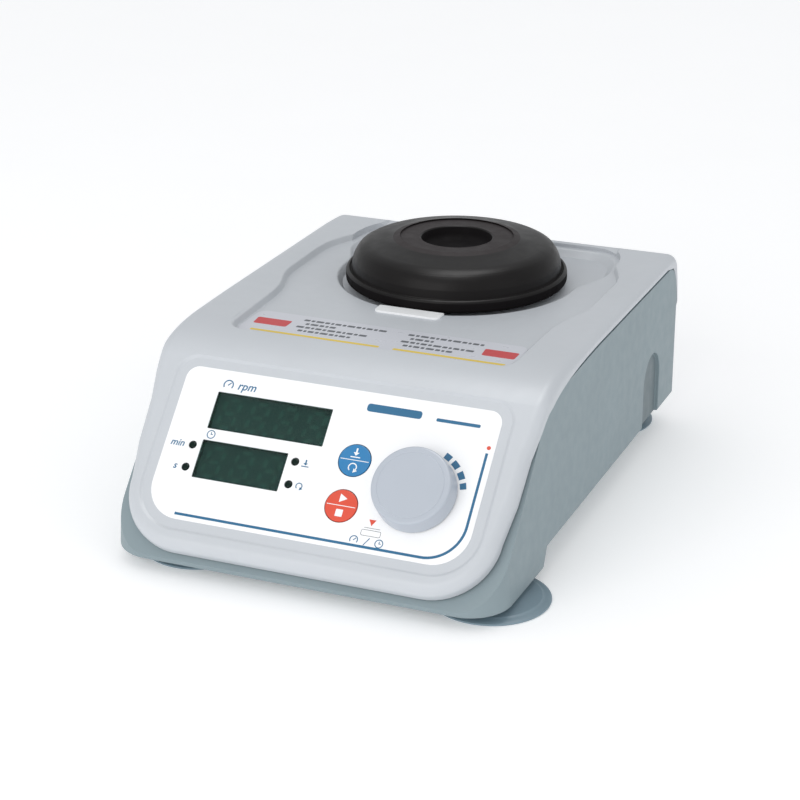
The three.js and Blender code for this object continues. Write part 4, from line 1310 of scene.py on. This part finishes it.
def make_stage():
    """The pale floor, the white surround, the soft lights and the camera."""
    scene = bpy.context.scene
    scene.view_settings.view_transform = "Standard"
    bm = bmesh.new()
    bmesh.ops.create_grid(bm, x_segments=8, y_segments=8, size=6)
    mesh = bpy.data.meshes.new("floor")
    bm.to_mesh(mesh)
    bm.free()
    floor = bpy.data.objects.new("floor", mesh)
    scene.collection.objects.link(floor)
    mesh.materials.append(moulded(
        "Pale floor", (0.95, 0.95, 0.955), 0.7, tone=0.004, patch=2,
        sockets={"Emission Color": (1, 1, 1, 1), "Emission Strength": 0.2}))
    world = bpy.data.worlds.new("studio")
    scene.world = world
    world.use_nodes = True
    world.node_tree.nodes["Background"].inputs["Color"].default_value = (0.97, 0.985, 1.0, 1)
    world.node_tree.nodes["Background"].inputs["Strength"].default_value = 0.76
    add_light("front key", (-0.25, -1.5, 0.75), (0, -0.05, 0.05), (1.4, 1.0), 9.5, (1, 0.98, 0.965))
    add_light("right fill", (1.3, -0.4, 0.5), (0, 0, 0.05), (0.9, 0.9), 0.8)
    add_light("overhead gloss", (0.0, 0.05, 1.1), (0, 0.05, 0.1), (0.5, 0.9), 10, diffuse=False)
    azimuth = math.radians(CAMERA["azimuth"])
    elevation = math.radians(CAMERA["elevation"])
    back = Vector((math.sin(azimuth) * math.cos(elevation), -math.cos(azimuth) * math.cos(elevation),
                   math.sin(elevation)))
    data = bpy.data.cameras.new("camera")
    data.lens = CAMERA["lens"]
    data.sensor_width = 36
    camera = bpy.data.objects.new("camera", data)
    camera.location = CAMERA["place"]
    camera.rotation_euler = (-back).to_track_quat("-Z", "Y").to_euler()
    scene.collection.objects.link(camera)
    scene.camera = camera


# ---------------------------------------------------------------- operators

class MIXER_OT_stage(bpy.types.Operator):
    """Set up the floor, the lights and the camera"""
    bl_idname = "mixer.stage"
    bl_label = "Stage"

    def execute(self, context):
        make_stage()
        return {"FINISHED"}


class MIXER_OT_finishes(bpy.types.Operator):
    """Make every finish, give the inner pieces theirs and build the springs"""
    bl_idname = "mixer.finishes"
    bl_label = "Finishes and inner pieces"

    def execute(self, context):
        make_materials()
        finish_inner()
        make_springs()
        return {"FINISHED"}


class MIXER_OT_base(bpy.types.Operator):
    """Build the blue-grey base of the casing"""
    bl_idname = "mixer.base"
    bl_label = "Base"

    def execute(self, context):
        make_base()
        return {"FINISHED"}


class MIXER_OT_cover(bpy.types.Operator):
    """Build the pale cover with its recess and panel seat"""
    bl_idname = "mixer.cover"
    bl_label = "Cover"

    def execute(self, context):
        make_cover()
        return {"FINISHED"}


class MIXER_OT_feet(bpy.types.Operator):
    """Build the four suction cups"""
    bl_idname = "mixer.feet"
    bl_label = "Suction cups"

    def execute(self, context):
        make_feet()
        return {"FINISHED"}


class MIXER_OT_deck(bpy.types.Operator):
    """Build the strip and the tab on the deck"""
    bl_idname = "mixer.deck"
    bl_label = "Deck strip and tab"

    def execute(self, context):
        make_deck_parts()
        return {"FINISHED"}


class MIXER_OT_platform(bpy.types.Operator):
    """Build the rubber platform"""
    bl_idname = "mixer.platform"
    bl_label = "Platform"

    def execute(self, context):
        make_platform()
        return {"FINISHED"}


class MIXER_OT_label(bpy.types.Operator):
    """Build the front label and its printed marks"""
    bl_idname = "mixer.label"
    bl_label = "Label and print"

    def execute(self, context):
        make_label()
        make_panel_print()
        return {"FINISHED"}


class MIXER_OT_displays(bpy.types.Operator):
    """Build the display windows, their digits and the lamps"""
    bl_idname = "mixer.displays"
    bl_label = "Displays and lamps"

    def execute(self, context):
        make_displays()
        make_lamps()
        return {"FINISHED"}


class MIXER_OT_controls(bpy.types.Operator):
    """Build the two keys and the knob"""
    bl_idname = "mixer.controls"
    bl_label = "Keys and knob"

    def execute(self, context):
        make_keys()
        make_knob()
        return {"FINISHED"}


class MIXER_OT_rear(bpy.types.Operator):
    """Build the mains inlet, the fuse holder and the power switch"""
    bl_idname = "mixer.rear"
    bl_label = "Rear panel"

    def execute(self, context):
        make_rear()
        return {"FINISHED"}


OPERATORS = (
    MIXER_OT_stage, MIXER_OT_finishes, MIXER_OT_base, MIXER_OT_cover, MIXER_OT_feet, MIXER_OT_deck,
    MIXER_OT_platform, MIXER_OT_label, MIXER_OT_displays, MIXER_OT_controls, MIXER_OT_rear)


class MIXER_PT_pieces(bpy.types.Panel):
    """Lists the steps that build the mixer"""
    bl_label = "Vortex mixer"
    bl_idname = "MIXER_PT_pieces"
    bl_space_type = "VIEW_3D"
    bl_region_type = "UI"
    bl_category = "Mixer"

    def draw(self, context):
        for name in ("cover_edge", "base_edge", "well_slope"):
            self.layout.prop(context.scene.mixer_sizes, name)
        for name in ("cover", "base", "label", "rubber", "cup", "knob", "blue", "red", "yellow", "lens"):
            self.layout.prop(context.scene.mixer_colours, name)
        for operator in OPERATORS:
            self.layout.operator(operator.bl_idname)


CLASSES = (MixerSizes, MixerColours, *OPERATORS, MIXER_PT_pieces)


def register():
    for cls in CLASSES:
        bpy.utils.register_class(cls)
    bpy.types.Scene.mixer_sizes = PointerProperty(type=MixerSizes)
    bpy.types.Scene.mixer_colours = PointerProperty(type=MixerColours)


def unregister():
    del bpy.types.Scene.mixer_colours
    del bpy.types.Scene.mixer_sizes
    for cls in reversed(CLASSES):
        bpy.utils.unregister_class(cls)


def main():
    register()
    for operator in OPERATORS:
        group, name = operator.bl_idname.split(".")
        getattr(getattr(bpy.ops, group), name)()


if __name__ == "__main__":
    main()
